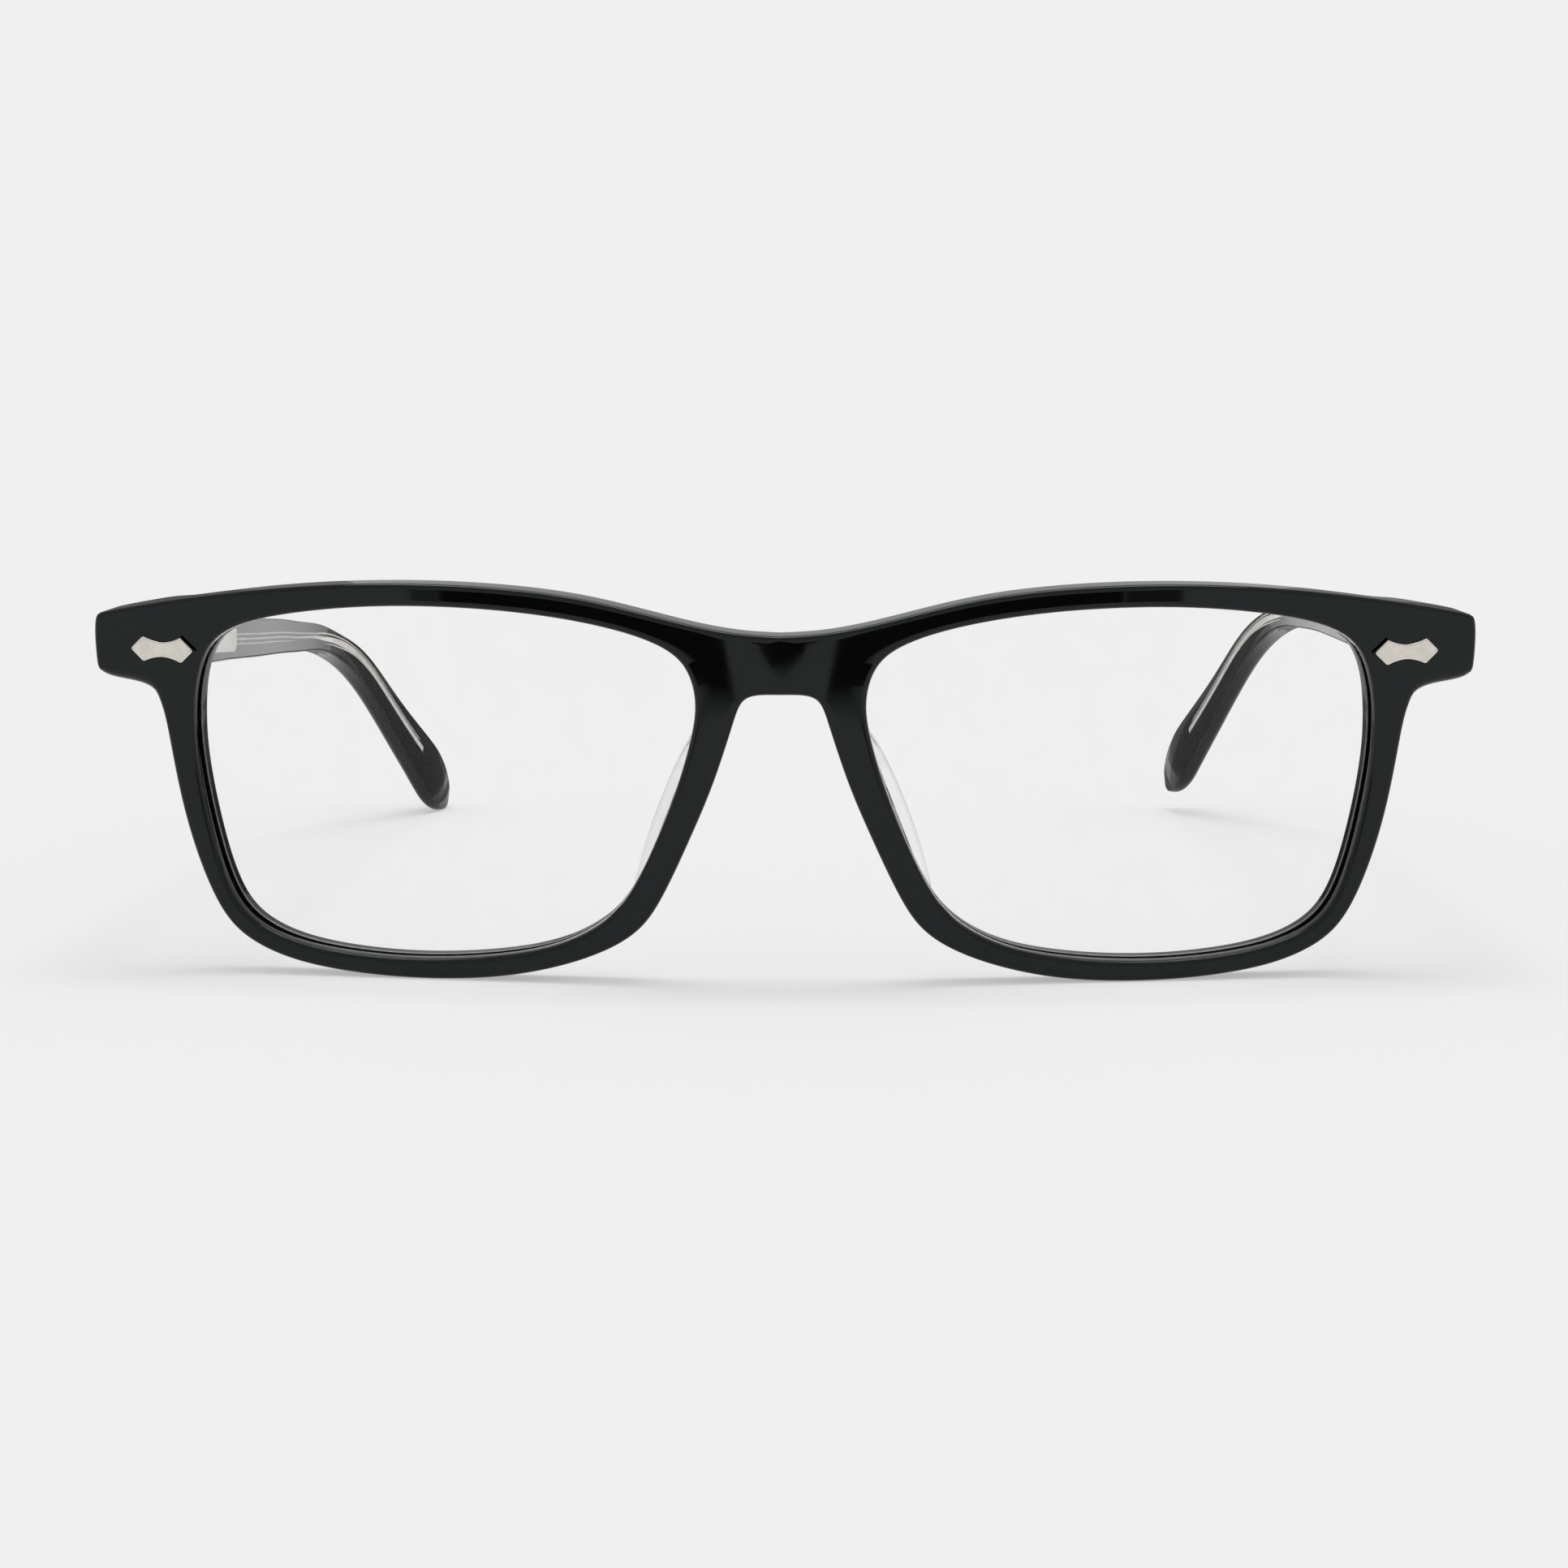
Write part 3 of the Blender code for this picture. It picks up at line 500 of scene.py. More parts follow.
def rim_stations():
    """Facing points of the opening and the outer outline, with their normals into the material."""
    outer_curve = Curve(OUTER_OUTLINE)
    inner_curve = Curve(LENS_OPENING, closed=True)
    outer = []
    inner = []
    for here, after in zip(STATIONS, STATIONS[1:]):
        cells = here[2] * FINER
        outer.append(outer_curve.spaced(here[0], after[0], cells))
        inner.append(inner_curve.spaced(here[1], after[1], cells))
    outer.append(outer_curve.at(STATIONS[-1][0]))
    inner.append(inner_curve.at(STATIONS[-1][1]))
    outer = np.vstack(outer)
    walls = len(outer)
    closing = inner_curve.spaced(STATIONS[-1][1], len(LENS_OPENING), BRIDGE_CELLS + 1)[1:]
    inner = np.vstack([*inner, closing])
    outer_normals = normals(outer, closed=False)
    inner_normals = -normals(inner)
    inner_back = inner + BACK_ROUND * inner_normals
    leans = [leaning(*three) for three in zip(inner_back, outer, outer_normals)]
    rims = []
    for rounding, ways in ((edge_round, outer_normals), (back_round, leans)):
        rim = [p + rounding(p, n) * way for p, n, way in zip(outer, outer_normals, ways)]
        heights = np.linspace(rim[-1][1], rim[0][1], BRIDGE_CELLS + 2)[1:-1]
        rims.append(np.vstack([rim, [(0, v) for v in heights]]))
    outer = np.vstack([outer, rims[0][walls:]])
    return inner, inner_normals, outer, outer_normals, leans, rims[1], walls


def front_mesh(name):
    inner, inner_normals, outer, outer_normals, leans, behind, walls = rim_stations()
    count = len(inner)
    points = []
    rings = []
    for i in range(count):
        walled = i < walls
        turn = outer_normals[i] if walled else None
        lean = leans[i] if walled else None
        parts = section_of_rim(inner[i], inner_normals[i], outer[i], turn, lean, behind[i], walled)
        numbered = []
        for part in parts:
            numbered.append(list(range(len(points), len(points) + len(part))))
            points += part
        rings.append(numbered)
    faces = []
    for i in range(count):
        here = rings[i]
        after = rings[(i + 1) % count]
        if here[1] and after[1]:
            lines = [(sum(here, []), sum(after, []), True)]
        else:
            lines = [
                (here[0], after[0], False),
                (here[2] + here[3] + here[0][:1], after[2] + after[3] + after[0][:1], False),
            ]
        for a, b, round_again in lines:
            for k in range(len(a) - (not round_again)):
                n = (k + 1) % len(a)
                faces.append((a[k], a[n], b[n], b[k]))
    half = [front_point(*p) for p in points]
    whole = half + [mirrored(p, -1) for p in half]
    flipped = [tuple(k + len(points) for k in reversed(face)) for face in faces]
    return mesh_object(name, whole, faces + flipped)


def prism_on_front(name, side, outline, centre, front_s, back_s):
    """A solid with an outline on the front, between two depths."""
    rings = []
    for s in (front_s, back_s):
        rings.append([front_point(side * (centre[0] + a), centre[1] + b, s) for a, b in outline])
    return loft(name, rings)


def box_outline(half_u, half_v, radius=0.25):
    corners = ((-half_u, -half_v), (half_u, -half_v), (half_u, half_v), (-half_u, half_v))
    return rounded(corners, radius, 3)


def plaque_corners():
    """The bow-tie, counter-clockwise: a tip, two lobes, a hollow waist, and round again."""
    lobe_u, lobe_v = PLAQUE_LOBE
    quarter_turn = [(PLAQUE_TIP, 0.0), (lobe_u, lobe_v)]
    places = [1.5 - 3.0 * k / 10 for k in range(11)]
    hollow = [(k, PLAQUE_WAIST + (lobe_v - PLAQUE_WAIST) * (abs(k) / lobe_u) ** 1.8) for k in places]
    upper = quarter_turn + hollow + [(-lobe_u, lobe_v), (-PLAQUE_TIP, 0.0)]
    lower = [(-u, -v) for u, v in upper[1:-1]]
    return upper + lower


def plaque_outline(grow=0.0):
    loop = rounded(plaque_corners(), PLAQUE_CORNER, 4)
    return loop - grow * normals(loop)


def plaque_mesh(name, side):
    """The plaque with a thin bevel round its flat face."""
    rings = []
    profile = [(grow, deep - PLAQUE_PROUD) for grow, deep in PLAQUE_BEVEL]
    for grow, s in profile + [(0.0, PLAQUE_DEPTH)]:
        outline = plaque_outline(grow)
        ring = [front_point(side * (PLAQUE_CENTRE[0] + u), PLAQUE_CENTRE[1] + v, s) for u, v in outline]
        rings.append(ring)
    return loft(name, rings)


def make_front(materials):
    made = front_mesh("front")
    cutters = []
    for side, word in ((1, "left"), (-1, "right")):
        leaf = box_outline(FRONT_LEAF_SIZE[0] / 2 + SNUG, FRONT_LEAF_SIZE[1] / 2 + SNUG, 0.01)
        sunk = ENDPIECE_THICKNESS - FRONT_LEAF_DEPTH - SNUG
        behind = ENDPIECE_THICKNESS + BEYOND_BACK
        for what, outline, centre, start, end in (
            ("recess", plaque_outline(PLAQUE_GAP), PLAQUE_CENTRE, BEYOND_FACE, PLAQUE_DEPTH + SNUG),
            ("relief", RELIEF, PLAQUE_CENTRE, BEYOND_FACE, RELIEF_DEPTH),
            ("pocket", leaf, FRONT_LEAF, sunk, behind),
        ):
            cutters.append(prism_on_front(f"{word}_{what}", side, outline, centre, start, end))
    cut(made, *cutters)
    even_normals(made)
    finish_piece(made, "front", "front_acetate", materials["front_acetate"], "front_frame")
    for side, word in ((1, "left"), (-1, "right")):
        plaque = plaque_mesh(f"{word}_plaque_plate", side)
        finish_piece(plaque, "front", "plaque", materials["plaque"], f"{word}_plaque")


def make_lens(name, side, finish, ground, node):
    """A thin curved plate whose V edge fills the rim's groove, with a ground band at the back."""
    loop = Curve(LENS_OPENING, closed=True).spaced(0, len(LENS_OPENING), LENS_SIDES)
    turned = -normals(loop)
    middle = loop.mean(axis=0)
    front_s = LENS_EDGE[0][1]
    back_s = LENS_EDGE[-1][1]

    def ring(shape, s):
        return [front_point(side * p[0], p[1], s) for p in shape]

    rings = [ring(middle + (loop - middle) * k, front_s) for k in reversed(LENS_RINGS)]
    rings += [ring(loop + offset * turned, s) for offset, s in LENS_EDGE]
    rings += [ring(middle + (loop - middle) * k, back_s) for k in LENS_RINGS]
    plate = finish_piece(loft(name, rings, 25), "front", "lens", finish, node)
    first = 2 + (len(LENS_RINGS) + GROUND_BAND) * LENS_SIDES
    second_finish(plate, ground, range(first, first + LENS_SIDES))


# ---------------------------------------------------------------- nose pads


def pad_outline():
    """The fin's outline: along its root, then back over its rounded edge."""
    length = sqrt((PAD_BOTTOM[0] - PAD_TOP[0]) ** 2 + (PAD_BOTTOM[1] - PAD_TOP[1]) ** 2)
    loop = [(length * k / 12, 0.0) for k in range(13)]
    for i in range(1, 40):
        turn = pi * i / 40
        loop.append((length / 2 + length / 2 * cos(turn), PAD_REACH * sin(turn) ** 0.8))
    return np.array(loop)


def make_pad(name, side, finish, node):
    root_s = RIM_THICKNESS + PAD_ROOT_GAP
    top = front_point(side * PAD_TOP[0], PAD_TOP[1], root_s)
    bottom = front_point(side * PAD_BOTTOM[0], PAD_BOTTOM[1], root_s)
    along = (bottom - top).normalized()
    straight_back = Vector((0, cos(FRONT_TILT), sin(FRONT_TILT)))
    outward = Vector((side, 0, 0))
    outward = (outward - along * outward.dot(along)).normalized()
    back = straight_back * cos(PAD_SPLAY) + outward * sin(PAD_SPLAY)
    thickness_way = outward * cos(PAD_SPLAY) - straight_back * sin(PAD_SPLAY)
    loop = pad_outline()
    inset = normals(loop)
    centre = loop.mean(axis=0)
    facing = np.sign(((centre - loop) * inset).sum(axis=1))[:, None]
    edge = [(PAD_ROUND * 2.2, 0.0), (PAD_ROUND, 0.0)] + quarter(PAD_ROUND)
    profile = edge + [(shrink, PAD_THICKNESS - deep) for shrink, deep in reversed(edge)]
    rings = []
    for shrink, deep in profile:
        flat = loop + inset * facing * shrink
        start = top + straight_back * (PAD_LIFT * MM)
        rings.append([start + (along * a + back * b + thickness_way * deep) * MM for a, b in flat])
    finish_piece(loft(name, rings, 60), "front", "nose_pad", finish, node)


# ---------------------------------------------------------------- temples


def back_of_endpiece(x, z):
    """The Y, in millimetres, of the endpiece's back behind a point of the front."""
    s = ENDPIECE_THICKNESS
    u = FACE_RADIUS * np.arcsin(x / (FACE_RADIUS - s))
    origin = front_point(u, 0, s) / MM
    v = (z - origin.z) / cos(FRONT_TILT)
    return front_point(u, v, s).y / MM - SHIFT_Y


def evened(rows, reach=4):
    """Rows averaged with their neighbours, fewer towards the ends, which stay."""
    count = len(rows)
    result = []
    for i in range(count):
        n = min(reach, i, count - 1 - i)
        result.append(rows[i - n : i + n + 1].mean(axis=0))
    return np.array(result)


def temple_stations(side):
    """Rows like those of TEMPLE_ROWS, close together, down to the rounded tip."""
    points = TEMPLE_ROWS
    if side > 0:
        start = TEMPLE_ROWS[0][0]
        points = []
        for y, z, x, *section in TEMPLE_ROWS:
            raised = LEFT_RAISE * sin(RAISE_TURN * (y - start))
            points.append((y, z + raised, x + LEFT_SPLAY * (y - start), *section))
    rows = Curve(points)
    last = len(TEMPLE_ROWS) - 1
    body = evened(rows.spaced(0, last * TIP_START, TEMPLE_STATIONS))
    end = last * (TIP_START + (1 - TIP_START) * np.sin(np.linspace(0, pi / 2, TIP_STATIONS)))
    return np.vstack([body, rows.at(end)])


def tip_narrowing(number):
    """How much of the full height is left at a station: less than 1 only on the round tip."""
    x = sin(pi / 2 * max(number - TEMPLE_STATIONS, 0) / (TIP_STATIONS - 1))
    return sqrt(max(1 - x * x, 0.0)) * 0.86 + 0.14


def temple_frames(side):
    """(corner, across, upward, height, thickness) at each station; across points away from the head."""
    rows = temple_stations(side)
    steps = np.concatenate([[0], np.cumsum(np.linalg.norm(np.diff(rows[:, :3], axis=0), axis=1))])
    along = np.gradient(rows[:, :3], steps, axis=0)
    along /= np.linalg.norm(along, axis=1)[:, None]
    frames = []
    for number, (y, z, x, height, thick) in enumerate(rows):
        forward = Vector((along[number][2], along[number][0], along[number][1]))
        upward = Vector((0, -forward.z, forward.y)).normalized()
        across = forward.cross(upward).normalized()
        if across.x < 0:
            across = -across
        narrow = tip_narrowing(number)
        frames.append((Vector((x, y, z)), across, upward, height * narrow, thick * (0.4 + 0.6 * narrow)))
    return frames


def clear_part(here):
    """The clear layer's thickness at a station."""
    return between(CLEAR_SHARE, smoothstep(here[0].y, *THINNING_Y)) * here[4]


def temple_ring(frame_here, outline, side, first):
    corner, across, upward = frame_here[:3]
    ring = []
    for w, h in outline:
        p = corner + across * w + upward * h
        if first:
            p.y = back_of_endpiece(p.x, p.z) + FRONT_GAP
        ring.append(place(side * p.x, p.y, p.z))
    return ring


def layer_section(inner, outer, height, inner_round, outer_round, steps=6):
    """A plate's section with round corners."""
    half = height / 2
    a = min(inner_round, half * 0.8)
    b = min(outer_round, half * 0.8, outer - inner - a - 0.02)
    loop = []
    for w, h, radius, start in (
        (inner + a, -half + a, a, pi),
        (outer - b, -half + b, b, 1.5 * pi),
        (outer - b, half - b, b, 0.0),
        (inner + a, half - a, a, 0.5 * pi),
    ):
        for k in range(steps + 1):
            turn = start + pi / 2 * k / steps
            loop.append((w + radius * cos(turn), h + radius * sin(turn)))
    return loop


def strand_rings(frames, side, rows):
    """One ridge of the core wire, with a slightly crowned top."""
    rings = []
    ys, heights, widths = zip(*rows)
    for here in frames:
        y = here[0].y
        if not ys[0] <= y <= ys[-1]:
            continue
        split = clear_part(here)
        h = np.interp(y, ys, heights)
        half = np.interp(y, ys, widths) / 2
        top = split - CORE_PROUD
        edge = top + STRAND_EDGE
        base = split + CORE_SUNK
        crown = half * STRAND_CROWN
        outline = [(base, h - half), (edge, h - half), (top, h - crown), (top, h + crown), (edge, h + half),
                   (base, h + half)]
        rings.append(temple_ring(here, outline, side, False))
    return rings


def paddle_rings(frames, side):
    """The wire's flat front end, rounded where it ends."""
    rings = []
    start, end = PADDLE_Y
    for share in [k / 12 for k in range(9)] + [0.74, 0.8, 0.86, 0.91, 0.95, 0.98, 1.0]:
        y = between(PADDLE_Y, share)
        reach = min((end - y) / (1.2 * PADDLE_HALF), 1.0)
        half = PADDLE_HALF * sqrt(max(1 - (1 - reach) ** 2, 0.0)) + 0.03
        number = int(np.argmin([abs(f[0].y - y) for f in frames]))
        here = frames[number]
        split = clear_part(here)
        moved = (Vector((here[0].x, y, here[0].z + (here[0].y - y) * 0.066)), *here[1:])
        outline = [(split + CORE_SUNK, -half), (split - CORE_PROUD, -half), (split - CORE_PROUD, half),
                   (split + CORE_SUNK, half)]
        rings.append(temple_ring(moved, outline, side, False))
    return rings


def hinge_pocket(name, side):
    """The room for the temple's hinge leaf in the clear layer."""
    inner_x = TEMPLE_ROWS[0][2]
    start = AXIS_Y - KNUCKLE_RADIUS + 0.2
    low = AXIS_Z - TEMPLE_LEAF_HEIGHT / 2 - SNUG
    high = AXIS_Z + TEMPLE_LEAF_HEIGHT / 2 + SNUG
    near = start - 6
    far = start + TEMPLE_LEAF_LENGTH + SNUG
    inside = inner_x - 3
    deep = inner_x + TEMPLE_LEAF_THICKNESS + SNUG
    rings = []
    for z in (low, high):
        corners = ((inside, near), (deep, near), (deep, far), (inside, far))
        rings.append([place(side * x, y, z) for x, y in corners])
    return loft(name, rings)


def make_temple(side, word, materials):
    frames = temple_frames(side)
    black_rings = []
    clear_rings = []
    for number, here in enumerate(frames):
        height, thick = here[3:]
        split = clear_part(here)
        soft = smoothstep(here[0].y, *SOFTENING_Y)
        outside = between(OUTSIDE_ROUND, soft)
        inside = min(between(INSIDE_ROUND, soft), split * 0.85)
        black_rings.append(
            temple_ring(here, layer_section(split, thick, height, SEAM_ROUND, outside), side, number == 0)
        )
        plate = layer_section(0.0, split + BURIED, height - 0.03, inside, 0.01)
        clear_rings.append(temple_ring(here, plate, side, number == 0))
    body = f"{word}_arm"
    outer = loft(f"{word}_temple_outer", black_rings)
    finish_piece(outer, body, "temple_acetate", materials["temple_acetate"], f"{word}_temple")
    sides = len(black_rings[0])
    seam = range(1 + sides, 2 + (len(black_rings) - 1) * sides, sides)
    second_finish(outer, materials["seam_black"], seam)
    inner = loft(f"{word}_temple_clear", clear_rings)
    cut(inner, hinge_pocket(f"{word}_pocket", side))
    finish_piece(inner, body, "clear_acetate", materials["clear_acetate"], f"{word}_temple_inner")
    tubes = [strand_rings(frames, side, rows) for rows in CORE_STRANDS]
    tubes.append(paddle_rings(frames, side))
    core = lofts(f"{word}_core", tubes, 50)
    finish_piece(core, body, "core_wire", materials["core_wire"], f"{word}_core_wire")


# ---------------------------------------------------------------- materials


class Finish:
    """A node material built round one Principled shader."""

    def __init__(self, name):
        self.made = bpy.data.materials.new(name)
        self.made.use_nodes = True
        self.tree = self.made.node_tree
        self.shader = self.tree.nodes["Principled BSDF"]
        self.output = self.tree.nodes["Material Output"]
        self.coordinates = self.node("ShaderNodeTexCoord")

    def node(self, kind, **settings):
        made = self.tree.nodes.new(kind)
        for key, value in settings.items():
            setattr(made, key, value)
        return made

    def link(self, source, target):
        self.tree.links.new(source, target)

    def set(self, **values):
        for key, value in values.items():
            self.shader.inputs[key.replace("_", " ")].default_value = value

    def paint(self, source, dark, light, dark_at=0.3, light_at=0.7):
        """The base colour follows a pattern from its dark tone to its light one."""
        self.link(self.ramp(source, ((dark_at, dark), (light_at, light))), self.shader.inputs["Base Color"])

    def polish(self, source, low, high):
        """The roughness follows a pattern."""
        self.link(self.span(source, low, high), self.shader.inputs["Roughness"])

    def stretched(self, scale):
        mapping = self.node("ShaderNodeMapping")
        mapping.inputs["Scale"].default_value = scale
        self.link(self.coordinates.outputs["Object"], mapping.inputs["Vector"])
        return mapping.outputs["Vector"]

    def noise(self, scale, detail=3.0, roughness=0.5, vector=None):
        made = self.node("ShaderNodeTexNoise")
        made.inputs["Scale"].default_value = scale
        made.inputs["Detail"].default_value = detail
        made.inputs["Roughness"].default_value = roughness
        self.link(vector or self.coordinates.outputs["Object"], made.inputs["Vector"])
        return made.outputs["Fac"]

    def ramp(self, source, stops):
        made = self.node("ShaderNodeValToRGB")
        elements = made.color_ramp.elements
        while len(elements) < len(stops):
            elements.new(0.5)
        for element, (position, color) in zip(elements, stops):
            element.position = position
            element.color = (*color, 1)
        self.link(source, made.inputs["Fac"])
        return made.outputs["Color"]

    def span(self, source, low, high, from_low=0.3, from_high=0.7):
        made = self.node("ShaderNodeMapRange")
        made.inputs["From Min"].default_value = from_low
        made.inputs["From Max"].default_value = from_high
        made.inputs["To Min"].default_value = low
        made.inputs["To Max"].default_value = high
        self.link(source, made.inputs["Value"])
        return made.outputs["Result"]

    def bump(self, height, strength, distance):
        made = self.node("ShaderNodeBump")
        made.inputs["Strength"].default_value = strength
        made.inputs["Distance"].default_value = distance
        self.link(height, made.inputs["Height"])
        self.link(made.outputs["Normal"], self.shader.inputs["Normal"])

    def let_lamps_through(self, tint):
        """Light from lamps passes the clear piece, so what lies behind it is lit."""
        path = self.node("ShaderNodeLightPath")
        clear = self.node("ShaderNodeBsdfTransparent")
        clear.inputs["Color"].default_value = (*tint, 1)
        mix = self.node("ShaderNodeMixShader")
        self.link(path.outputs["Is Shadow Ray"], mix.inputs[0])
        self.link(self.shader.outputs["BSDF"], mix.inputs[1])
        self.link(clear.outputs["BSDF"], mix.inputs[2])
        self.link(mix.outputs["Shader"], self.output.inputs["Surface"])


def black_acetate(name, low_rough, high_rough, wave):
    """Polished black acetate: faint cloudiness, uneven polish and a slight waviness."""
    f = Finish(name)
    f.paint(f.noise(160.0, 4.0), (0.0021, 0.0022, 0.0024), (0.0029, 0.003, 0.0033), 0.35)
    f.polish(f.noise(420.0, 5.0, 0.6), low_rough, high_rough)
    f.bump(f.noise(240.0, 2.0), wave, 0.00002)
    f.set(IOR=1.36, Specular_Tint=(0.9, 0.97, 1.0, 1))
    return f.made


def bonded_black(name):
    """The black layer's face under the clear layer: bonded to it, so it has almost no gloss of its own."""
    f = Finish(name)
    f.paint(f.noise(200.0, 3.0), (0.004, 0.0041, 0.0044), (0.006, 0.0062, 0.0066))
    f.polish(f.noise(500.0, 3.0), 0.5, 0.7)
    f.set(IOR=1.03)
    return f.made


def clear_plastic(name, color, ior, low_rough, high_rough, tint):
    """Clear plastic with faint flow lines and a slightly uneven polish."""
    f = Finish(name)
    paler = tuple(min(c + FLOW_LINES, 1.0) for c in color)
    f.paint(f.noise(300.0, 2.0), color, paler)
    f.polish(f.noise(500.0, 3.0), low_rough, high_rough)
    f.set(Transmission_Weight=1.0, IOR=ior)
    f.let_lamps_through(tint)
    return f.made


def ground_edge(name):
    """The lens's ground edge: pale, dull, with fine grinding marks."""
    f = Finish(name)
    grain = f.noise(1400.0, 4.0, 0.6)
    f.paint(grain, (0.15, 0.155, 0.16), (0.24, 0.245, 0.25))
    f.polish(grain, 0.4, 0.6)
    f.bump(grain, 0.1, 0.00001)
    return f.made


def metal(name, dark, light, low_rough, high_rough, stretch=(1.0, 1.0, 1.0), scale=900.0, grain=0.05):
    """Satin metal: mottled tone, fine grain and uneven polish."""
    f = Finish(name)
    vector = f.stretched(stretch)
    f.paint(f.noise(scale, 6.0, 0.65, vector), dark, light, 0.3, 0.68)
    f.polish(f.noise(scale * 1.7, 4.0, 0.6, vector), low_rough, high_rough)
    f.bump(f.noise(scale * 4.0, 3.0, 0.6, vector), grain, 0.00001)
    f.set(Metallic=1.0)
    return f.made


def make_materials():
    """Every finish, by name: plastics by colour, refraction and polish, metals by tones, polish and grain."""
    return {
        "front_acetate": black_acetate("front black acetate", 0.03, 0.07, 0.12),
        "temple_acetate": black_acetate("temple black acetate", 0.1, 0.17, 0.1),
        "seam_black": bonded_black("bonded black"),
        "clear_acetate": clear_plastic(
            "clear acetate", (0.955, 0.955, 0.96), 1.33, 0.02, 0.05, (0.93, 0.93, 0.93)
        ),
        "lens": clear_plastic(
            "lens plastic", (0.985, 0.985, 0.985), 1.16, 0.0, 0.006, (0.99, 0.99, 0.99)
        ),
        "lens_edge": ground_edge("ground lens edge"),
        "nose_pad": clear_plastic(
            "pad plastic", (0.97, 0.975, 0.975), 1.3, 0.01, 0.03, (0.95, 0.95, 0.95)
        ),
        "plaque": metal("plaque silver", (0.64, 0.61, 0.55), (0.74, 0.71, 0.65), 0.22, 0.3),
        "hinge_steel": metal(
            "hinge steel", (0.48, 0.48, 0.47), (0.66, 0.65, 0.63), 0.22, 0.38, (1, 0.15, 1), 1400.0, 0.12
        ),
        "screw_steel": metal(
            "screw steel", (0.42, 0.42, 0.41), (0.62, 0.61, 0.6), 0.18, 0.34, (1, 1, 0.2), 1600.0, 0.12
        ),
        "core_wire": metal(
            "core wire", (0.72, 0.7, 0.66), (0.86, 0.84, 0.8), 0.16, 0.3, (1, 0.08, 0.3), 1500.0, 0.05
        ),
    }


def repaint(node, finish):
    """A kept CAD node gets the finish of its material slot."""
    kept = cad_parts[node]
    if not kept.material_slots:
        kept.data.materials.append(finish)
    for slot in kept.material_slots:
        slot.material = finish


# ---------------------------------------------------------------- stage


def make_floor():
    half = FLOOR_HALF
    corners = [(-half, -half, 0), (half, -half, 0), (half, half, 0), (-half, half, 0)]
    data = bpy.data.meshes.new("floor")
    data.from_pydata(corners, [], [(0, 1, 2, 3)])
    floor = bpy.data.objects.new("floor", data)
    bpy.context.scene.collection.objects.link(floor)
    f = Finish("pale floor")
    albedo = FLOOR_ALBEDO * (1 - FLOOR_GLOW)
    f.set(Base_Color=(albedo, albedo, albedo, 1), Roughness=1.0, Specular_IOR_Level=0.0)
    f.set(Emission_Color=(1, 1, 1, 1), Emission_Strength=PALE * FLOOR_GLOW)
    data.materials.append(f.made)


def make_world():
    """An even pale surround: the lit floor's tone where it is seen, and the soft light elsewhere."""
    world = bpy.data.worlds.new("studio")
    bpy.context.scene.world = world
    world.use_nodes = True
    tree = world.node_tree
    output = tree.nodes["World Output"]
    seen = tree.nodes["Background"]
    seen.inputs["Color"].default_value = (PALE, PALE, PALE, 1)
    light = tree.nodes.new("ShaderNodeBackground")
    level = PALE / FLOOR_ALBEDO * (1 - SUN_SHARE)
    light.inputs["Color"].default_value = (level, level, level, 1)
    path = tree.nodes.new("ShaderNodeLightPath")
    direct = tree.nodes.new("ShaderNodeMath")
    direct.operation = "MAXIMUM"
    tree.links.new(path.outputs["Is Camera Ray"], direct.inputs[0])
    tree.links.new(path.outputs["Is Transmission Ray"], direct.inputs[1])
    mix = tree.nodes.new("ShaderNodeMixShader")
    tree.links.new(direct.outputs[0], mix.inputs[0])
    tree.links.new(light.outputs[0], mix.inputs[1])
    tree.links.new(seen.outputs[0], mix.inputs[2])
    tree.links.new(mix.outputs[0], output.inputs["Surface"])


def make_lights():
    """Two broad overhead lights that lean a little to either side."""
    total = PALE / FLOOR_ALBEDO * SUN_SHARE * pi
    for side, word in ((1, "left"), (-1, "right")):
        data = bpy.data.lights.new(f"{word}_overhead", "SUN")
        data.angle = SUN_ANGLE
        data.energy = total / 2 / (cos(SUN_TILT) * cos(SUN_BACK))
        lamp = bpy.data.objects.new(f"{word}_overhead", data)
        lamp.rotation_euler = (-SUN_BACK, side * SUN_TILT, 0)
        bpy.context.scene.collection.objects.link(lamp)


def dark_card(name, outline, density, near_edge=None, fade=None):
    """A dark flag seen only in gloss, on the floor or upright; it may fade out towards its near edge."""
    points = [place(*p) if len(p) == 3 else place(*p, FLAG_HEIGHT) for p in outline]
    data = bpy.data.meshes.new(name)
    data.from_pydata(points, [], [tuple(range(len(points)))])
    card = bpy.data.objects.new(name, data)
    bpy.context.scene.collection.objects.link(card)
    for ray in ("camera", "diffuse", "transmission", "volume_scatter", "shadow"):
        setattr(card, f"visible_{ray}", False)
    f = Finish(name)
    clear = f.node("ShaderNodeBsdfTransparent")
    black = f.node("ShaderNodeEmission")
    black.inputs["Color"].default_value = FLAG_COLOR
    mix = f.node("ShaderNodeMixShader")
    mix.inputs[0].default_value = density
    if fade:
        split = f.node("ShaderNodeSeparateXYZ")
        f.link(f.coordinates.outputs["Object"], split.inputs[0])
        edge = (near_edge + SHIFT_Y) * MM
        f.link(f.span(split.outputs["Y"], 0.0, density, edge, edge - fade * MM), mix.inputs[0])
    f.link(clear.outputs[0], mix.inputs[1])
    f.link(black.outputs[0], mix.inputs[2])
    f.link(mix.outputs[0], f.output.inputs["Surface"])
    data.materials.append(f.made)


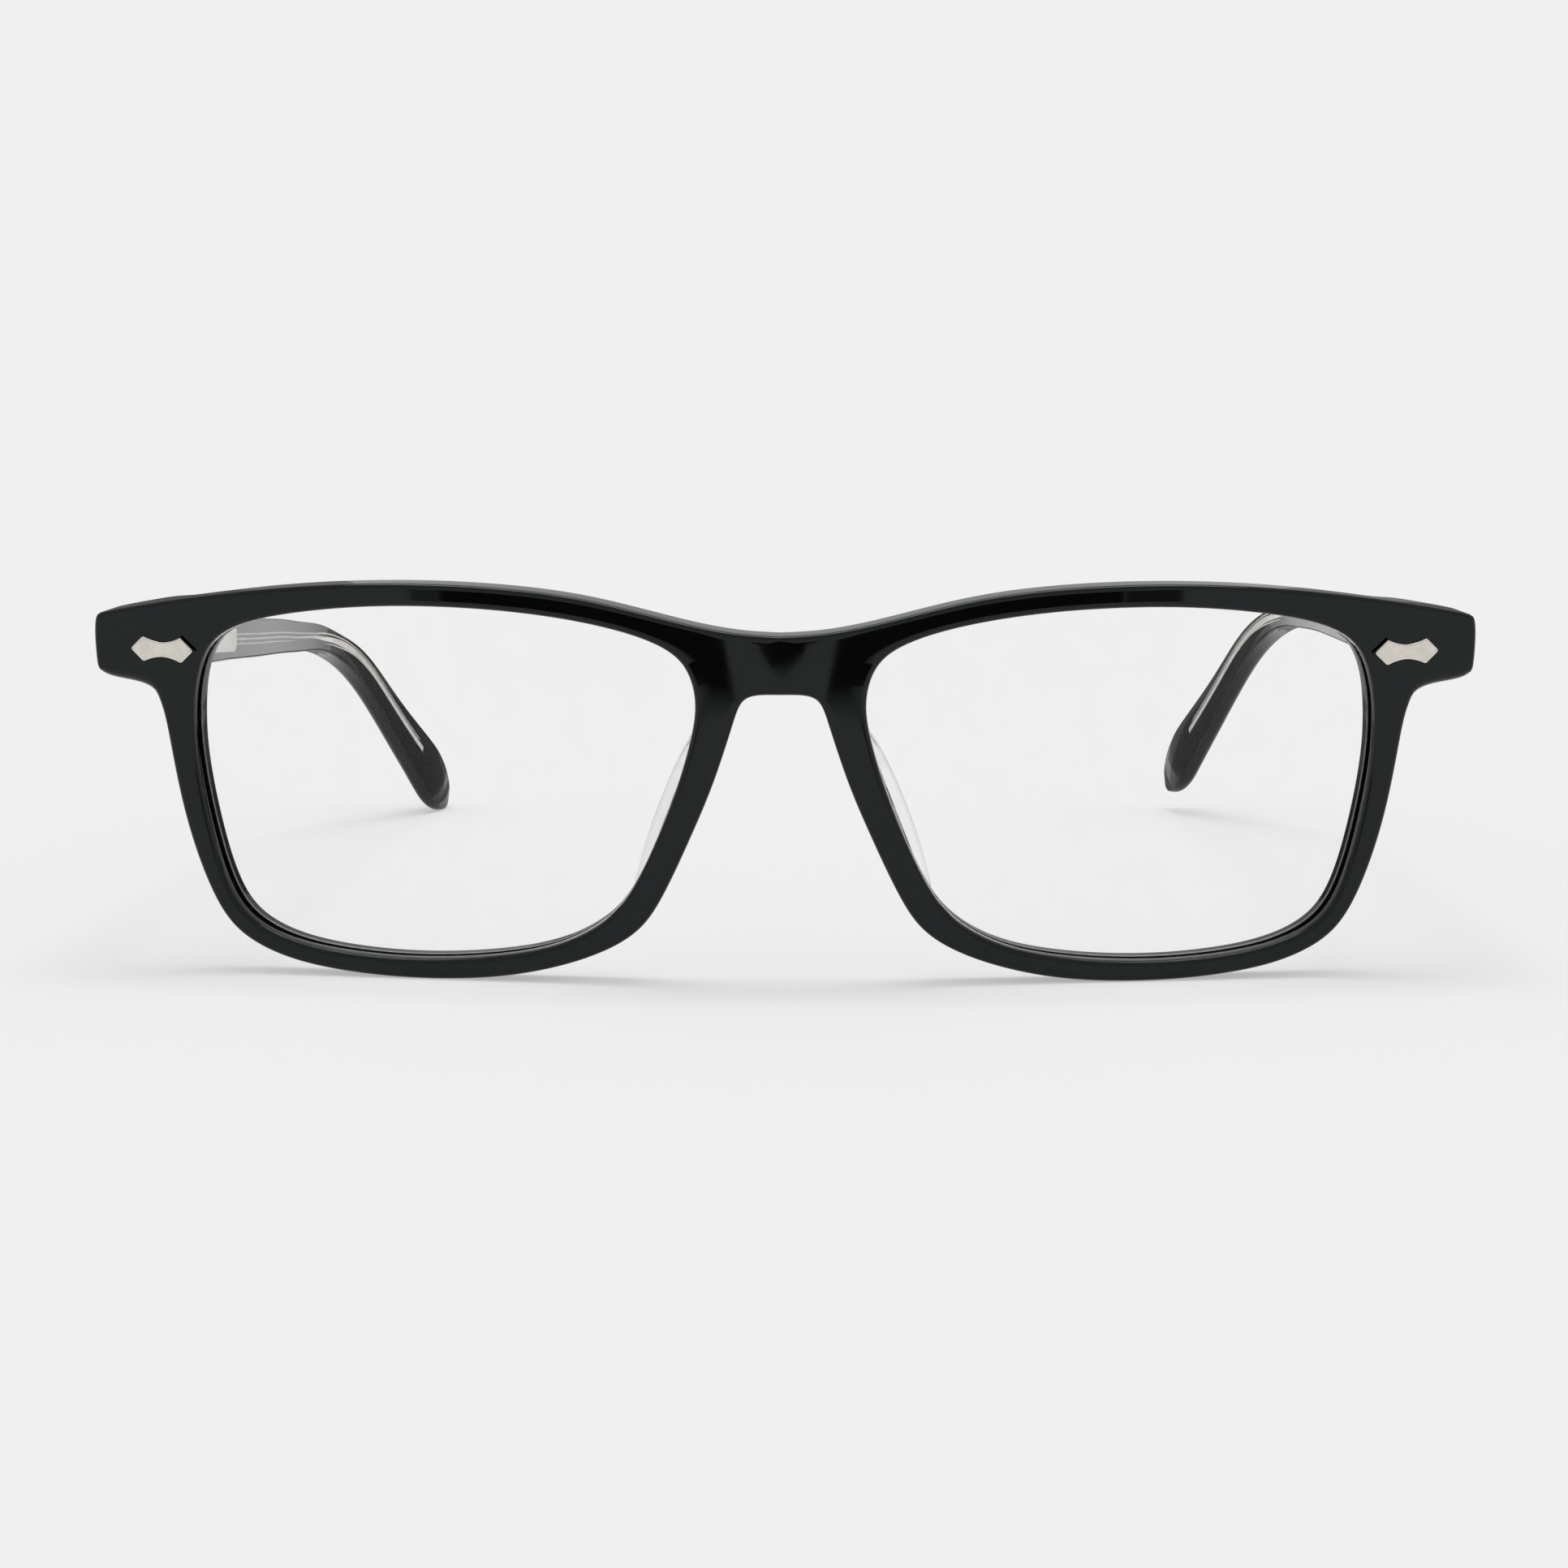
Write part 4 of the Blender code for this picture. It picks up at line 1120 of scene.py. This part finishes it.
def beside_drop(side, degrees):
    """Where a flag for a drop ends: at an angle from straight back, beyond that drop."""
    turn = radians(degrees)
    x = side * (DROP_FLAG_REACH * sin(turn) - DROP_PLACE[0])
    return x, DROP_PLACE[1] + DROP_FLAG_REACH * cos(turn)


def make_cards():
    """The flags mirrored in the face of the front, and those mirrored in the insides of the drops."""
    for name, outline, density, near_edge, fade in FLAGS:
        dark_card(name, outline, density, near_edge, fade)
    for side, word in ((1, "left"), (-1, "right")):
        for number, (turn, density) in enumerate(DROP_FLAGS):
            ends = [beside_drop(side, turn), beside_drop(side, DROP_FLAG_END)]
            outline = [(-side * DROP_PLACE[0], DROP_PLACE[1]), *ends]
            dark_card(f"{word}_drop_flag_{number}", outline, density)
        for number, turn in enumerate(DROP_WALLS):
            ends = [beside_drop(side, turn), beside_drop(side, DROP_WALL_END)]
            outline = [(*p, 0.0) for p in ends] + [(*p, DROP_WALL_HEIGHT) for p in reversed(ends)]
            dark_card(f"{word}_drop_wall_{number}", outline, DROP_WALL_DENSITY)


def make_camera():
    data = bpy.data.cameras.new("camera")
    data.sensor_width = 36.0
    data.lens = CAMERA_LENS
    data.shift_x = CAMERA_SHIFT
    data.clip_start = 0.01
    data.clip_end = 100.0
    camera = bpy.data.objects.new("camera", data)
    behind = -Vector(CAMERA_AHEAD)
    turned = Matrix((CAMERA_RIGHT, CAMERA_UP, behind)).transposed().to_4x4()
    camera.matrix_world = Matrix.Translation(CAMERA_PLACE) @ turned
    bpy.context.scene.collection.objects.link(camera)
    bpy.context.scene.camera = camera


# ---------------------------------------------------------------- the scene


def main():
    materials = make_materials()
    make_front(materials)
    for side, word in ((1, "left"), (-1, "right")):
        make_lens(f"{word}_lens_plate", side, materials["lens"], materials["lens_edge"], f"{word}_lens")
        make_pad(f"{word}_pad", side, materials["nose_pad"], f"{word}_nose_pad")
        make_temple(side, word, materials)
        repaint(f"{word}_front_hinge", materials["hinge_steel"])
        repaint(f"{word}_temple_hinge", materials["hinge_steel"])
        repaint(f"{word}_hinge_screw", materials["screw_steel"])
    make_floor()
    make_world()
    make_lights()
    make_cards()
    make_camera()
    bpy.context.scene.view_settings.view_transform = "Standard"


main()
